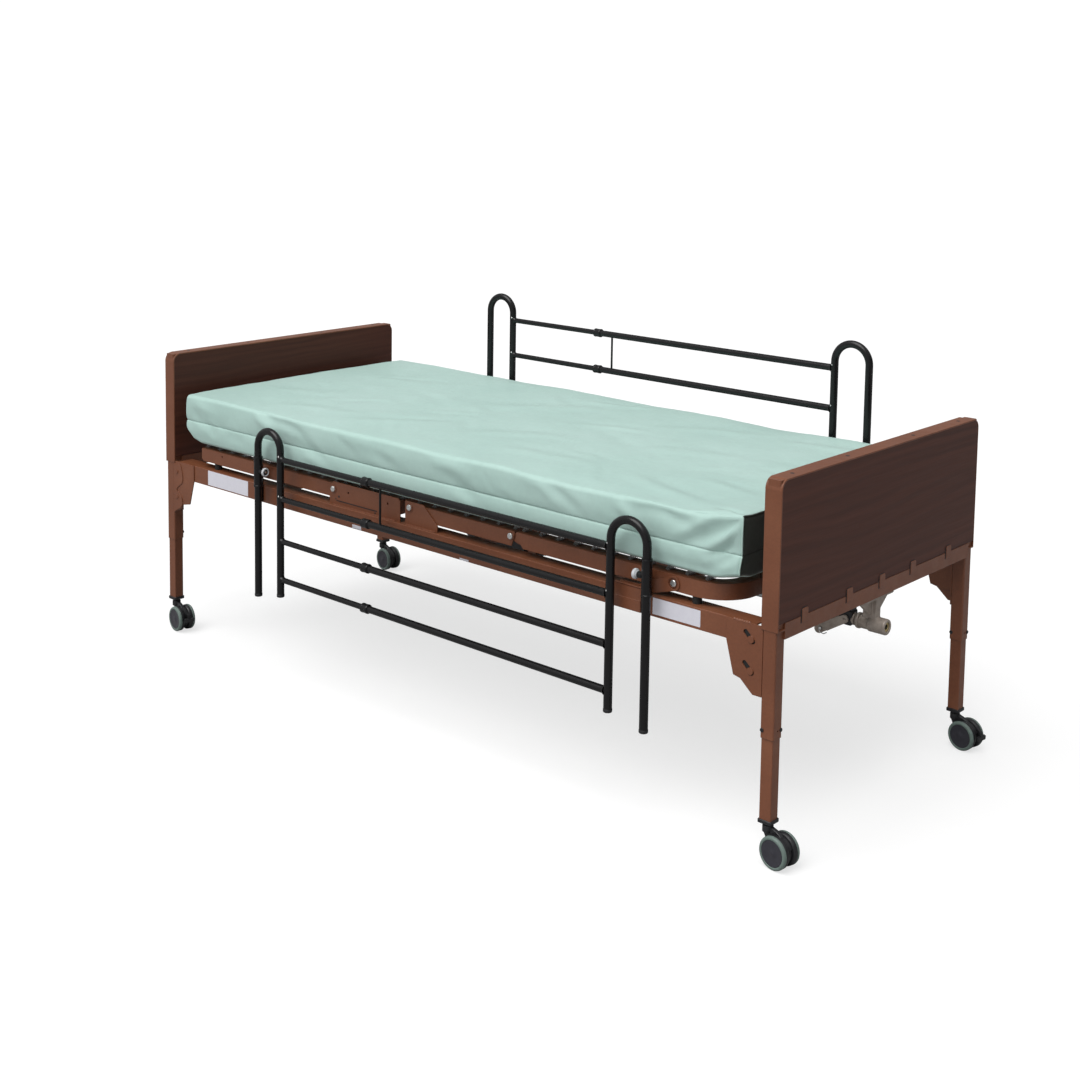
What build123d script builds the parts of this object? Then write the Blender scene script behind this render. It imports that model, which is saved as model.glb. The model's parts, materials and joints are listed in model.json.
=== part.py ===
from build123d import *
import os
from math import atan2, cos, degrees, hypot, radians, sin

# Adjustable hospital bed, millimetres, +Z up.
# Lengthwise along X (head end -X, foot end +X), width along Y (near side -Y, far side +Y),
# floor at Z = 0. The origin is on the floor at the centre of the overall footprint; the foot
# casters trail past the foot end, so the bed's own centre plane sits at X = BED_X.
# All other x values are measured from that centre plane.

os.makedirs("parts", exist_ok=True)

# ---------------------------------------------------------------- driving dimensions
BED_X = -23.2
FIT = 0.05                  # radial clearance of a hole round its pin or shaft
PIN_R = 5.0                 # hinge and pivot pins
PIN_HOLE_R = PIN_R + FIT

# bed ends and legs
HALF_LENGTH = 1117.5        # over the bed ends (88 in overall)
HALF_WIDTH = 457.0          # over the bed ends (36 in overall)
END_T = 43.6                # thickness of a bed end
END_TOP = 868.0
WRAP_BOT = 529.0            # lower end of the rim's side wrap
RIM_T = 3.5                 # rim sheet thickness
CORNER_R = 25.0             # top corner radius
BOARD_BOT = 547.0           # lower edge of the boards
END_RAIL_BOT = 509.0        # underside of a bed end's bottom rail
END_RAIL_TOP = BOARD_BOT - 1
LEG_X = HALF_LENGTH - END_T / 2
LEG_Y = 438.5
OUTER_LEG = 34.5            # width of the square outer leg tube
INNER_LEG = 30.3            # width of the square inner leg tube
OUTER_LEG_BOT = 285.0
INNER_LEG_BOT = 91.0
INNER_LEG_TOP = 480.0
LEG_FACE_X = LEG_X - OUTER_LEG / 2     # inboard face of the leg columns

# hi-lo drive
CROSS_SHAFT_Z = 700.0       # cross shaft height inside the bed end
CROSS_SHAFT_R = 5.0
GEAR_Y = -10.0              # gearbox position across the bed
GEAR_Z = 436.0              # crank and drive shaft height
DRIVE_R = 8.0               # drive shaft
SOCKET_R = 12.0             # crank sockets on the drive shaft
SCREW_R = 6.0               # riser shafts and leg screws
TRUNNION_X = 1030.0         # pivot of the coupling lever
TRUNNION_R = 3.0

# casters
CASTER_R = 38.0
TRAIL = 35.0                # axle behind the stem
CASTER_TURN = radians(-8.0)            # resting swivel angle
TURN_COS, TURN_SIN = cos(CASTER_TURN), sin(CASTER_TURN)
STEM_R = 5.5
AXLE_R = 4.0

# lower side angles
RAIL_Z0, RAIL_Z1 = 485.0, 535.0
RAIL_FACE = 452.0           # y of the outer face
RAIL_LEG = RAIL_Z1 - RAIL_Z0
RAIL_T = 3.2

# deck angles
DECK_Z0, DECK_Z1 = 554.0, 592.0
DECK_FACE = 440.0           # y of the outer face
DECK_LEG = DECK_Z1 - DECK_Z0
DECK_MID_Z = (DECK_Z0 + DECK_Z1) / 2
DECK_T = 3.0
DECK_IN = DECK_FACE - DECK_T           # y of the inner face
DECK_FLANGE_Y = DECK_FACE - DECK_LEG / 2
FOOT_X, FOOT_R = 980.0, 98.0           # foot end of the deck and its corner radius

# pivots in side view, (x, z)
HEAD_HINGE = (-350.0, 578.0)
THIGH_HINGE = (-45.0, 583.0)
KNEE_HINGE = (316.0, 579.0)
LINK_TOP = (824.0, 572.0)   # foot section's cross tube
LINK_FOOT = (680.0, 543.0)  # foot link's lower pivot
LINK_Y = 386.0              # inner face of the foot links
HEAD_LEVER_PIN = (-300.0, 469.0)
THIGH_LEVER_PIN = (-73.5, 477.0)
MOTOR_Z = 440.0             # base pivots of both motors
HEAD_MOTOR = (150.0, -150.0)           # base pivot (x, y)
KNEE_MOTOR = (600.0, 150.0)

# side guard rails
GUARD_Y = 485.0             # plane of the guards
GUARD_R = 10.5              # leg tube radius
FOOT_OUTER_X, FOOT_INNER_X = 780.0, 673.0
HEAD_OUTER_X, HEAD_INNER_X = -630.0, -530.0
BAR_DROPS = (83.0, 197.0, 320.0, 432.0)     # bar heights below the crown
KNOB_Z = 588.0
KNOB_PIN_R = 4.0


def side(y, x=0, z=0):
    """Side-view plane: sketch x along the bed, sketch y up, extrudes toward -Y."""
    return Plane(origin=(BED_X + x, y, z), x_dir=(1, 0, 0), z_dir=(0, -1, 0))


def top(z):
    """Plan-view plane, extrudes upward."""
    return Plane(origin=(BED_X, 0, z), x_dir=(1, 0, 0), z_dir=(0, 0, 1))


def end(x):
    """End-view plane: sketch x across the bed, sketch y up, extrudes toward +X."""
    return Plane(origin=(BED_X + x, 0, 0), x_dir=(0, 1, 0), z_dir=(1, 0, 0))


def save(builder, name):
    builder.part.label = name
    export_step(builder.part, f"parts/{name}.step")


ACROSS = Plane.XZ           # mirrors the near side to the far side
ENDS = end(0)               # mirrors the foot end to the head end
END_SIGNS = (("foot", 1), ("head", -1))

# ---------------------------------------------------------------- bed ends
END_RAIL_MID = (END_RAIL_BOT + END_RAIL_TOP) / 2
END_RAIL_H = END_RAIL_TOP - END_RAIL_BOT
END_RAIL_WALL = 2
INNER_LEG_ROOM = INNER_LEG + 0.24
SMALL_HOLE_R = 2.5
LOW_HOLE_Z = 303
TOP_HOLES_Y = (-385, -153, 153, 385)


def make_end_frame(end_name, sign):
    with BuildPart() as frame:
        # rim sheet wrapped round the boards
        with BuildSketch(end(HALF_LENGTH)) as rim:
            with Locations((0, (WRAP_BOT + END_TOP) / 2)):
                Rectangle(2 * HALF_WIDTH, END_TOP - WRAP_BOT)
            fillet(rim.vertices().group_by(Axis.Y)[-1], CORNER_R)
            offset(amount=-RIM_T, mode=Mode.SUBTRACT)
        extrude(amount=-END_T)
        top_edges = frame.edges().filter_by(GeomType.LINE).group_by(Axis.Z)[-1].sort_by(Axis.X)
        fillet(top_edges[-1:] + top_edges[:1], 1.2)
        # bottom rail between the legs
        with BuildSketch(end(HALF_LENGTH)):
            with Locations((0, END_RAIL_MID)):
                Rectangle(2 * (LEG_Y - 10), END_RAIL_H)
        extrude(amount=-END_T)
        # outer leg tubes
        with BuildSketch(top(OUTER_LEG_BOT)):
            with Locations((LEG_X, LEG_Y), (LEG_X, -LEG_Y)):
                RectangleRounded(OUTER_LEG, OUTER_LEG, 4)
        extrude(amount=END_TOP - 2 - OUTER_LEG_BOT)
        # hollows of the rail and the legs
        with BuildSketch(end(HALF_LENGTH - END_RAIL_WALL)):
            with Locations((0, END_RAIL_MID)):
                Rectangle(2 * (LEG_Y - 20), END_RAIL_H - 2 * END_RAIL_WALL)
        extrude(amount=-(END_T - 2 * END_RAIL_WALL), mode=Mode.SUBTRACT)
        with BuildSketch(top(OUTER_LEG_BOT)):
            with Locations((LEG_X, LEG_Y), (LEG_X, -LEG_Y)):
                RectangleRounded(INNER_LEG_ROOM, INNER_LEG_ROOM, 2.4)
        extrude(amount=END_TOP - 6 - OUTER_LEG_BOT, mode=Mode.SUBTRACT)
        # set-screw holes low on the outboard faces of the legs
        with BuildSketch(end(HALF_LENGTH)):
            with Locations((LEG_Y, LOW_HOLE_Z), (-LEG_Y, LOW_HOLE_Z)):
                Circle(SMALL_HOLE_R)
        extrude(amount=-12, mode=Mode.SUBTRACT)
        # holes that pass the cross shaft and the riser shaft
        with BuildSketch(side(LEG_Y)):
            with Locations((LEG_X, CROSS_SHAFT_Z)):
                Circle(CROSS_SHAFT_R + FIT)
        extrude(amount=2 * LEG_Y, mode=Mode.SUBTRACT)
        with BuildSketch(top(END_RAIL_BOT - 1)):
            with Locations((LEG_X, GEAR_Y)):
                Circle(8)
        extrude(amount=50, mode=Mode.SUBTRACT)
        # small screw holes along the top edge
        with BuildSketch(top(END_TOP + 1)):
            with Locations(*[(LEG_X, y) for y in TOP_HOLES_Y]):
                Circle(SMALL_HOLE_R)
        extrude(amount=-5, mode=Mode.SUBTRACT)
        if sign < 0:
            mirror(about=ENDS, mode=Mode.REPLACE)
    save(frame, f"{end_name}_end_frame")


for end_name, sign in END_SIGNS:
    make_end_frame(end_name, sign)

BOARD_GAP = 0.3             # gap between a board and its rim
LAMINATE_T = 4.05
CORE_OUT_X = HALF_LENGTH - BOARD_GAP - LAMINATE_T
CORE_IN_X = HALF_LENGTH - END_T + 4.3
BOARD_MID = (BOARD_BOT + END_TOP - RIM_T) / 2
BOARD_H = END_TOP - RIM_T - BOARD_BOT - 2 * BOARD_GAP
CORE_HALF_W = 420.0
BORE_R = 12
BORE_HALF = 430

with BuildPart() as end_boards:
    # core between the leg columns and two laminate faces, one board in each bed end
    with BuildSketch(end(CORE_OUT_X)):
        with Locations((0, BOARD_MID)):
            Rectangle(2 * CORE_HALF_W, BOARD_H)
    extrude(amount=-(CORE_OUT_X - CORE_IN_X))
    with BuildSketch(end(HALF_LENGTH - BOARD_GAP), end(CORE_IN_X)):
        with Locations((0, BOARD_MID)):
            Rectangle(2 * (HALF_WIDTH - RIM_T - BOARD_GAP), BOARD_H)
    extrude(amount=-LAMINATE_T)
    fillet(end_boards.edges().filter_by(Axis.X).filter_by(
        lambda e: e.center().Z > END_TOP - 8 and abs(e.center().Y) > HALF_WIDTH - 10),
        CORNER_R - RIM_T)
    # bores for the cross shaft and the riser shaft
    with BuildSketch(side(BORE_HALF)):
        with Locations((LEG_X, CROSS_SHAFT_Z)):
            Circle(BORE_R)
    extrude(amount=2 * BORE_HALF, mode=Mode.SUBTRACT)
    with BuildSketch(top(BOARD_BOT - 2)):
        with Locations((LEG_X, GEAR_Y)):
            Circle(BORE_R)
    extrude(amount=CROSS_SHAFT_Z - BOARD_BOT + 2, mode=Mode.SUBTRACT)
    mirror(about=ENDS)
save(end_boards, "end_boards")

# ---------------------------------------------------------------- lower frame
RAIL_HALF = 1058            # half length of the side angles

with BuildPart() as side_rails:
    with BuildSketch(side(-(RAIL_FACE - RAIL_T))):
        with Locations((0, (RAIL_Z0 + RAIL_Z1) / 2)):
            Rectangle(2 * RAIL_HALF, RAIL_LEG)
    extrude(amount=RAIL_T)
    with BuildSketch(top(RAIL_Z1 - RAIL_T)):
        with Locations((0, -(RAIL_FACE - RAIL_LEG / 2))):
            Rectangle(2 * RAIL_HALF, RAIL_LEG)
    extrude(amount=RAIL_T)
    fillet(side_rails.edges().filter_by(Axis.X).filter_by(
        lambda e: abs(abs(e.center().Y) - RAIL_FACE) < 0.1
        and abs(e.center().Z - RAIL_Z1) < 0.1), 2.0)
    mirror(about=ACROSS)
save(side_rails, "side_rails")

# corner bracket outlines, (x, z)
FOOT_GUSSET = ((982, 535), (982, 486), (1003, 408), (1022, 404), (1040, 388), (1055, 375),
               (LEG_FACE_X, 375), (LEG_FACE_X, 528.4), (1073, 528.4), (1073, 535))
FOOT_DOUBLER = ((1016, 484.5), (1058.4, 484.5), (1058.4, 520), (1073, 520), (1073, 402),
                (1026, 402))
HEAD_GUSSET = ((-979, 535), (-979, 485), (-1000, 411), (-1034, 404), (-1046, 388),
               (-LEG_FACE_X, 375), (-LEG_FACE_X, 528.4), (-1073, 528.4), (-1073, 535))
# lobed free edge of the head hook plate, then its straight edges
HOOK_LOBES = ((-1046, 528), (-1036, 503), (-1037, 472), (-1054, 459), (-1064, 446),
              (-1048, 434), (-1036, 416), (-1042, 396), (-1062, 384), (-1076, 374))
HOOK_BACK = ((-1076, 374), (-LEG_FACE_X, 374), (-LEG_FACE_X, 528), (-1046, 528))
HOOK_SLOTS = ((1043, 504), (1042, 433))
HOOK_STUDS = ((1048, 499), (1048, 427))
HOOK_RIVETS = ((-1062, 504), (-1062, 425))
GUSSET_T = 3
DOUBLER_T = 2.6
HOOK_T = 2
# plate against the leg column: centre (y, z) and size (y, z)
LEG_PLATE_AT = (-(RAIL_FACE - 14), 441)
LEG_PLATE = (30, 132)

with BuildPart() as corner_brackets:
    # foot corner: gusset plate over the rail end with two slanted hook slots
    with BuildSketch(side(-RAIL_FACE)):
        with BuildLine():
            Polyline(*FOOT_GUSSET, close=True)
        make_face()
        with Locations(*HOOK_SLOTS):
            SlotOverall(38, 12, rotation=-43, mode=Mode.SUBTRACT)
    extrude(amount=GUSSET_T)
    # doubler behind the slots
    with BuildSketch(side(-(RAIL_FACE - DOUBLER_T))):
        with BuildLine():
            Polyline(*FOOT_DOUBLER, close=True)
        make_face()
    extrude(amount=DOUBLER_T)
    # hook studs standing in the slots
    with BuildSketch(side(-RAIL_FACE)):
        with Locations(*HOOK_STUDS):
            Circle(8.2)
    extrude(amount=5)
    with BuildSketch(end(LEG_FACE_X - GUSSET_T)):
        with Locations(LEG_PLATE_AT):
            Rectangle(*LEG_PLATE)
    extrude(amount=GUSSET_T)
    # head corner: plain gusset under a lobed hook plate with two rivets
    with BuildSketch(side(-RAIL_FACE)):
        with BuildLine():
            Polyline(*HEAD_GUSSET, close=True)
        make_face()
    extrude(amount=GUSSET_T)
    with BuildSketch(side(-(RAIL_FACE + GUSSET_T))):
        with BuildLine():
            Spline(*HOOK_LOBES)
            Polyline(*HOOK_BACK)
        make_face()
    extrude(amount=HOOK_T)
    with BuildSketch(side(-(RAIL_FACE + GUSSET_T + HOOK_T))):
        with Locations(*HOOK_RIVETS):
            Circle(6)
    extrude(amount=2)
    with BuildSketch(end(-LEG_FACE_X)):
        with Locations(LEG_PLATE_AT):
            Rectangle(*LEG_PLATE)
    extrude(amount=GUSSET_T)
    mirror(about=ACROSS)
save(corner_brackets, "corner_brackets")

SEAT_PLATE_Y = 440.6        # inner face of the seat side plates
SEAT_PLATE_T = 3
SEAT_OUT_Y = SEAT_PLATE_Y + SEAT_PLATE_T
FRAME_BOLT_Y = 434.0        # inner end of the hinge bolts
CAP_R = 8.5                 # domed bolt caps

with BuildPart() as frame_bolts:
    # backrest and thigh hinge bolts with domed caps outside
    for hinge in (HEAD_HINGE, THIGH_HINGE):
        with BuildSketch(side(-FRAME_BOLT_Y)):
            with Locations(hinge):
                Circle(PIN_R)
        extrude(amount=SEAT_OUT_Y - FRAME_BOLT_Y)
        with BuildSketch(side(-SEAT_OUT_Y)):
            with Locations(hinge):
                Circle(CAP_R)
        extrude(amount=5)
        fillet(frame_bolts.faces().sort_by(Axis.Y)[0].edges(), 2.4)
    mirror(about=ACROSS)
save(frame_bolts, "frame_bolts")

MEMBER = 25                 # square tube width
MEMBER_WALL = 2
MEMBER_Z = 518
CHEEK_T = 4
CHEEK_IN = 20               # half the gap between two motor cheeks
LINK_PLATE_Y = 397          # outer face of the foot link brackets
LINK_PLATE_T = 3
FLANGE_BOT = RAIL_Z1 - RAIL_T

with BuildPart() as cross_members:
    for x in (-640.0, HEAD_MOTOR[0], KNEE_MOTOR[0]):
        with BuildSketch(side(RAIL_FACE - RAIL_T)):
            with Locations((x, MEMBER_Z)):
                Rectangle(MEMBER, MEMBER)
                Rectangle(MEMBER - 2 * MEMBER_WALL, MEMBER - 2 * MEMBER_WALL,
                          mode=Mode.SUBTRACT)
        extrude(amount=2 * (RAIL_FACE - RAIL_T))
    # motor cheeks hanging from the middle and foot members, with their pins
    for x, y in (HEAD_MOTOR, KNEE_MOTOR):
        with BuildSketch(side(y + CHEEK_IN + CHEEK_T), side(y - CHEEK_IN)):
            with BuildLine():
                Polyline((x - 16, 506), (x + 16, 506), (x + 12, 428), (x - 12, 428), close=True)
            make_face()
        extrude(amount=CHEEK_T)
        with BuildSketch(side(y + CHEEK_IN)):
            with Locations((x, MOTOR_Z)):
                Circle(PIN_R)
        extrude(amount=2 * CHEEK_IN)
    # foot link brackets beside the side angles, their pins and foot pads
    x = LINK_FOOT[0]
    with BuildSketch(side(LINK_PLATE_Y), side(-(LINK_PLATE_Y - LINK_PLATE_T))):
        with BuildLine():
            Polyline((x - 16, FLANGE_BOT), (x + 16, FLANGE_BOT), (x + 10, 552), (x - 10, 552),
                     close=True)
        make_face()
    extrude(amount=LINK_PLATE_T)
    with BuildSketch(side(LINK_PLATE_Y), side(-LINK_Y)):
        with Locations(LINK_FOOT):
            Circle(PIN_R)
    extrude(amount=LINK_PLATE_Y - LINK_Y)
    with BuildSketch(top(FLANGE_BOT)):
        with Locations((x, 398), (x, -398)):
            Rectangle(32, 8)
    extrude(amount=RAIL_T)
save(cross_members, "cross_members")

# side plate outlines, (x, z)
SEAT_PLATE = ((-350, 599), (-90, 599), (-82, 591), (-82, 535), (-366, 535), (-366, 583))
THIGH_PLATE = ((-62, 599), (6, 599), (59, 553), (59, 535), (-62, 535))
SEAT_HOLES = ((-288, 577), (-130, 577))
SEAT_HOLE_R = 3.5
SEAT_MID_X, SEAT_LENGTH = -208, 240    # seat angle

with BuildPart() as seat_frame:
    # seat side plates and thigh hinge plates standing on the lower angles
    with BuildSketch(side(-SEAT_PLATE_Y)):
        with BuildLine():
            Polyline(*SEAT_PLATE, close=True)
        make_face()
        with BuildLine():
            Polyline(*THIGH_PLATE, close=True)
        make_face()
        with Locations(HEAD_HINGE, THIGH_HINGE):
            Circle(PIN_HOLE_R, mode=Mode.SUBTRACT)
        with Locations(*SEAT_HOLES):
            Circle(SEAT_HOLE_R, mode=Mode.SUBTRACT)
    extrude(amount=SEAT_PLATE_T)
    # inner angle of the seat section
    with BuildSketch(side(-DECK_IN)):
        with Locations((SEAT_MID_X, DECK_MID_Z)):
            Rectangle(SEAT_LENGTH, DECK_LEG)
        with Locations(*SEAT_HOLES):
            Circle(SEAT_HOLE_R, mode=Mode.SUBTRACT)
    extrude(amount=SEAT_PLATE_Y - DECK_IN)
    with BuildSketch(top(DECK_Z1 - DECK_T)):
        with Locations((SEAT_MID_X, -DECK_FLANGE_Y)):
            Rectangle(SEAT_LENGTH, DECK_LEG)
    extrude(amount=DECK_T)
    mirror(about=ACROSS)
    # upright cross plates
    with BuildSketch(end(-326), end(-91)):
        with Locations((0, DECK_MID_Z)):
            Rectangle(2 * DECK_IN, DECK_LEG)
    extrude(amount=DECK_T)
save(seat_frame, "seat_frame")

with BuildPart() as deck_bumpers:
    with BuildSketch(top(RAIL_Z1)):
        with Locations((-895, -425), (880, -425), (-895, 425), (880, 425)):
            Circle(11)
    extrude(amount=DECK_Z0 - RAIL_Z1)
    chamfer(deck_bumpers.faces().group_by(Axis.Z)[-1].edges(), 2.5)
save(deck_bumpers, "deck_bumpers")

# ---------------------------------------------------------------- deck sections
TORQUE_TUBE_R = 10
LEVER_T = 4
LEVER_PIN_L = 25
HEAD_START, HEAD_END = -957, -353      # x range of the head flange
THIGH_START, THIGH_END = -40, 322      # x range of the thigh flange
FOOT_START = 334

# outlines of the side plates and motor levers, (x, z)
HEAD_SIDE = ((-949, 554), (-957, 562), (-957, 592), (-345, 592), (-338, 582), (-338, 570),
             (-346, 554))
HEAD_LEVER = ((-392, 578), (-366, 580), (-293, 474), (-294, 462), (-306, 460))
THIGH_SIDE = ((-53, 592), (328, 592), (328, 579), (318, 554), (-45, 554), (-53, 566))
THIGH_LEVER = ((-28, 580), (-6, 572), (-65, 470), (-74, 467), (-82, 475), (-80, 484))
FOOT_SIDE = ((334, 592), (882.5, 592), (882.5, 554), (358, 554), (334, 579))
KNEE_EAR = ((316, 588), (390, 588), (390, 562), (340, 562), (316, 570))

with BuildPart() as head_frame:
    with BuildSketch(side(-DECK_IN)):
        with BuildLine():
            Polyline(*HEAD_SIDE, close=True)
        make_face()
        with Locations(HEAD_HINGE):
            Circle(PIN_HOLE_R, mode=Mode.SUBTRACT)
        with Locations((-858, 581)):
            Circle(3, mode=Mode.SUBTRACT)
    extrude(amount=DECK_T)
    with BuildSketch(top(DECK_Z1 - DECK_T)):
        with Locations(((HEAD_START + HEAD_END) / 2, -DECK_FLANGE_Y)):
            Rectangle(HEAD_END - HEAD_START, DECK_LEG)
    extrude(amount=DECK_T)
    mirror(about=ACROSS)
    # cross angle at the head end
    with BuildSketch(end(HEAD_START)):
        with Locations((0, DECK_MID_Z)):
            Rectangle(2 * DECK_IN, DECK_LEG)
    extrude(amount=DECK_T)
    with BuildSketch(top(DECK_Z1 - DECK_T)):
        with Locations((HEAD_START + DECK_LEG / 2, 0)):
            Rectangle(DECK_LEG, 2 * DECK_IN)
    extrude(amount=DECK_T)
    # torque tube near the hinge with the lever that the motor pushes
    with BuildSketch(side(DECK_IN)):
        with Locations((-378, 570)):
            Circle(TORQUE_TUBE_R)
    extrude(amount=2 * DECK_IN)
    with BuildSketch(side(-163)):
        with BuildLine():
            Polyline(*HEAD_LEVER, close=True)
        make_face()
    extrude(amount=LEVER_T)
    with BuildSketch(side(-140)):
        with Locations(HEAD_LEVER_PIN):
            Circle(PIN_R)
    extrude(amount=LEVER_PIN_L)
save(head_frame, "head_frame")

with BuildPart() as thigh_frame:
    with BuildSketch(side(-DECK_IN)):
        with BuildLine():
            Polyline(*THIGH_SIDE, close=True)
        make_face()
        with Locations(THIGH_HINGE, KNEE_HINGE):
            Circle(PIN_HOLE_R, mode=Mode.SUBTRACT)
    extrude(amount=DECK_T)
    with BuildSketch(top(DECK_Z1 - DECK_T)):
        with Locations(((THIGH_START + THIGH_END) / 2, -DECK_FLANGE_Y)):
            Rectangle(THIGH_END - THIGH_START, DECK_LEG)
    extrude(amount=DECK_T)
    mirror(about=ACROSS)
    # two cross tubes and the motor lever with its pin
    with BuildSketch(side(DECK_IN)):
        with Locations((-18, 570), (292, 570)):
            Circle(TORQUE_TUBE_R)
    extrude(amount=2 * DECK_IN)
    with BuildSketch(side(167)):
        with BuildLine():
            Polyline(*THIGH_LEVER, close=True)
        make_face()
    extrude(amount=LEVER_T)
    with BuildSketch(side(165)):
        with Locations(THIGH_LEVER_PIN):
            Circle(PIN_R)
    extrude(amount=LEVER_PIN_L)
save(thigh_frame, "thigh_frame")

FLANGE_INNER_X = FOOT_X - DECK_LEG
BAND_START = 314            # x where the band's outline starts, before its sides are cut off
CUT_START = 200             # x where the flange opening starts
TRIM_START = 300            # x where the cut over the band's sides starts
BAND_END = FOOT_X - FOOT_R  # the band is kept from here to the foot

with BuildPart() as foot_frame:
    with BuildSketch(side(-DECK_IN)):
        with BuildLine():
            Polyline(*FOOT_SIDE, close=True)
        make_face()
        with Locations(LINK_TOP):
            Circle(PIN_HOLE_R, mode=Mode.SUBTRACT)
    extrude(amount=DECK_T)
    with BuildSketch(top(DECK_Z1 - DECK_T)) as foot_flange:
        # flange with the two wide foot corners
        with Locations(((FOOT_START + FOOT_X) / 2, 0)):
            Rectangle(FOOT_X - FOOT_START, 2 * DECK_FACE)
        fillet(foot_flange.vertices().group_by(Axis.X)[-1], FOOT_R)
        with Locations(((CUT_START + FLANGE_INNER_X) / 2, 0)):
            RectangleRounded(FLANGE_INNER_X - CUT_START, 2 * (DECK_FACE - DECK_LEG),
                             FOOT_R - DECK_LEG, mode=Mode.SUBTRACT)
    extrude(amount=DECK_T)
    with BuildSketch(top(DECK_Z0)) as foot_band:
        # upright band bent round the foot end
        with Locations(((BAND_START + FOOT_X) / 2, 0)):
            Rectangle(FOOT_X - BAND_START, 2 * DECK_FACE)
        fillet(foot_band.vertices().group_by(Axis.X)[-1], FOOT_R)
        offset(amount=-DECK_T, mode=Mode.SUBTRACT)
        with Locations(((TRIM_START + BAND_END) / 2, 0)):
            Rectangle(BAND_END - TRIM_START, 2 * DECK_FACE + 2, mode=Mode.SUBTRACT)
    extrude(amount=DECK_LEG)
    # knee ears inside the thigh angle
    with BuildSketch(side(-433.4)):
        with Locations(KNEE_HINGE):
            Circle(9)
        with BuildLine():
            Polyline(*KNEE_EAR, close=True)
        make_face()
        with Locations(KNEE_HINGE):
            Circle(PIN_HOLE_R, mode=Mode.SUBTRACT)
    extrude(amount=3.2)
    # pad joining the ear to the side plate
    with BuildSketch(side(-436.2)):
        with Locations((372, 574)):
            Rectangle(30, 20)
    extrude(amount=1.2)
    mirror(about=ACROSS)
    # cross tubes
    with BuildSketch(side(DECK_IN)):
        with Locations(LINK_TOP, (420, 568)):
            Circle(8)
    extrude(amount=2 * DECK_IN)
save(foot_frame, "foot_frame")

KNEE_BOLT_Y = 430.0         # inner end of the knee bolts
KNEE_CAP_Y = 440.4          # inner face of the caps

with BuildPart() as knee_bolts:
    # knee hinge bolts and the end bolts of the foot section's cross tube
    for bolt_y, pivot in ((KNEE_BOLT_Y, KNEE_HINGE), (DECK_IN, LINK_TOP)):
        with BuildSketch(side(-bolt_y)):
            with Locations(pivot):
                Circle(PIN_R)
        extrude(amount=KNEE_CAP_Y - bolt_y)
    with BuildSketch(side(-KNEE_CAP_Y)):
        with Locations(KNEE_HINGE, LINK_TOP):
            Circle(CAP_R)
    extrude(amount=4.5)
    fillet(knee_bolts.faces().group_by(Axis.Y)[0].edges(), 2.2)
    mirror(about=ACROSS)
save(knee_bolts, "knee_bolts")

# ---------------------------------------------------------------- spring deck
SPRING_W, SPRING_H = 3, 2.5            # section of one link
SPRING_PITCH_X = 62                    # nominal, adjusted to fill each section
SPRING_PITCH_Y = 77
# section name and its x range
SPRING_DECKS = (("head", -950.0, -362.0), ("seat", -322.0, -94.0),
                ("thigh", -30.0, 316.0), ("foot", 346.0, 905.0))

for name, x0, x1 in SPRING_DECKS:
    length = x1 - x0
    spaces = round(length / SPRING_PITCH_X)
    with BuildPart() as spring_deck:
        # crosswise and lengthwise links in one grid
        with BuildSketch(top(DECK_Z1)):
            with Locations(((x0 + x1) / 2, 0)):
                with GridLocations((length - SPRING_W) / spaces, 1, spaces + 1, 1):
                    Rectangle(SPRING_W, 850)
                with GridLocations(1, SPRING_PITCH_Y, 1, 11):
                    Rectangle(length, SPRING_W)
        extrude(amount=SPRING_H)
    save(spring_deck, f"{name}_spring_deck")

# ---------------------------------------------------------------- mattress
MATTRESS_BOT, MATTRESS_TOP = 602.0, 752.0
MATTRESS_HALF_W = 449
# section name, then x of its corners: bottom head, bottom foot, top foot, top head
MATTRESSES = (("head", -1014, -368, -466, -1014), ("seat", -332, -56, -100, -234),
              ("thigh", -36, 314, 314, 10), ("foot", 318, 1014, 1014, 318))

for name, bottom_head, bottom_foot, top_foot, top_head in MATTRESSES:
    with BuildPart() as mattress:
        with BuildSketch(side(MATTRESS_HALF_W)):
            with BuildLine():
                Polyline((bottom_head, MATTRESS_BOT), (bottom_foot, MATTRESS_BOT),
                         (top_foot, MATTRESS_TOP), (top_head, MATTRESS_TOP), close=True)
            make_face()
        extrude(amount=2 * MATTRESS_HALF_W)
    save(mattress, f"mattress_{name}")

# ---------------------------------------------------------------- foot links
LINK_DX, LINK_DZ = LINK_TOP[0] - LINK_FOOT[0], LINK_TOP[1] - LINK_FOOT[1]
LINK_L = hypot(LINK_DX, LINK_DZ)
LINK_ANGLE = atan2(LINK_DZ, LINK_DX)

with BuildPart() as foot_links:
    # cranked bar from the lower pivot, passing below the cross tube
    link_plane = Plane(origin=(BED_X + LINK_FOOT[0], -LINK_Y, LINK_FOOT[1]),
                       x_dir=(cos(LINK_ANGLE), 0, sin(LINK_ANGLE)), z_dir=(0, -1, 0))
    with BuildSketch(link_plane):
        Circle(9)
        with BuildLine():
            Polyline((0, 8), (LINK_L - 40, -9), (LINK_L - 24, -15), (LINK_L + 10, -15),
                     (LINK_L + 10, -24), (LINK_L - 28, -24), (0, -8), close=True)
        make_face()
        Circle(PIN_HOLE_R, mode=Mode.SUBTRACT)
    extrude(amount=6)
    mirror(about=ACROSS)
save(foot_links, "foot_links")

# ---------------------------------------------------------------- actuators
ROD_R = 11
BODY_START = 22             # gear case, measured from the base pivot
BODY_L = 110
TUBE_START = BODY_START + BODY_L


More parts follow.
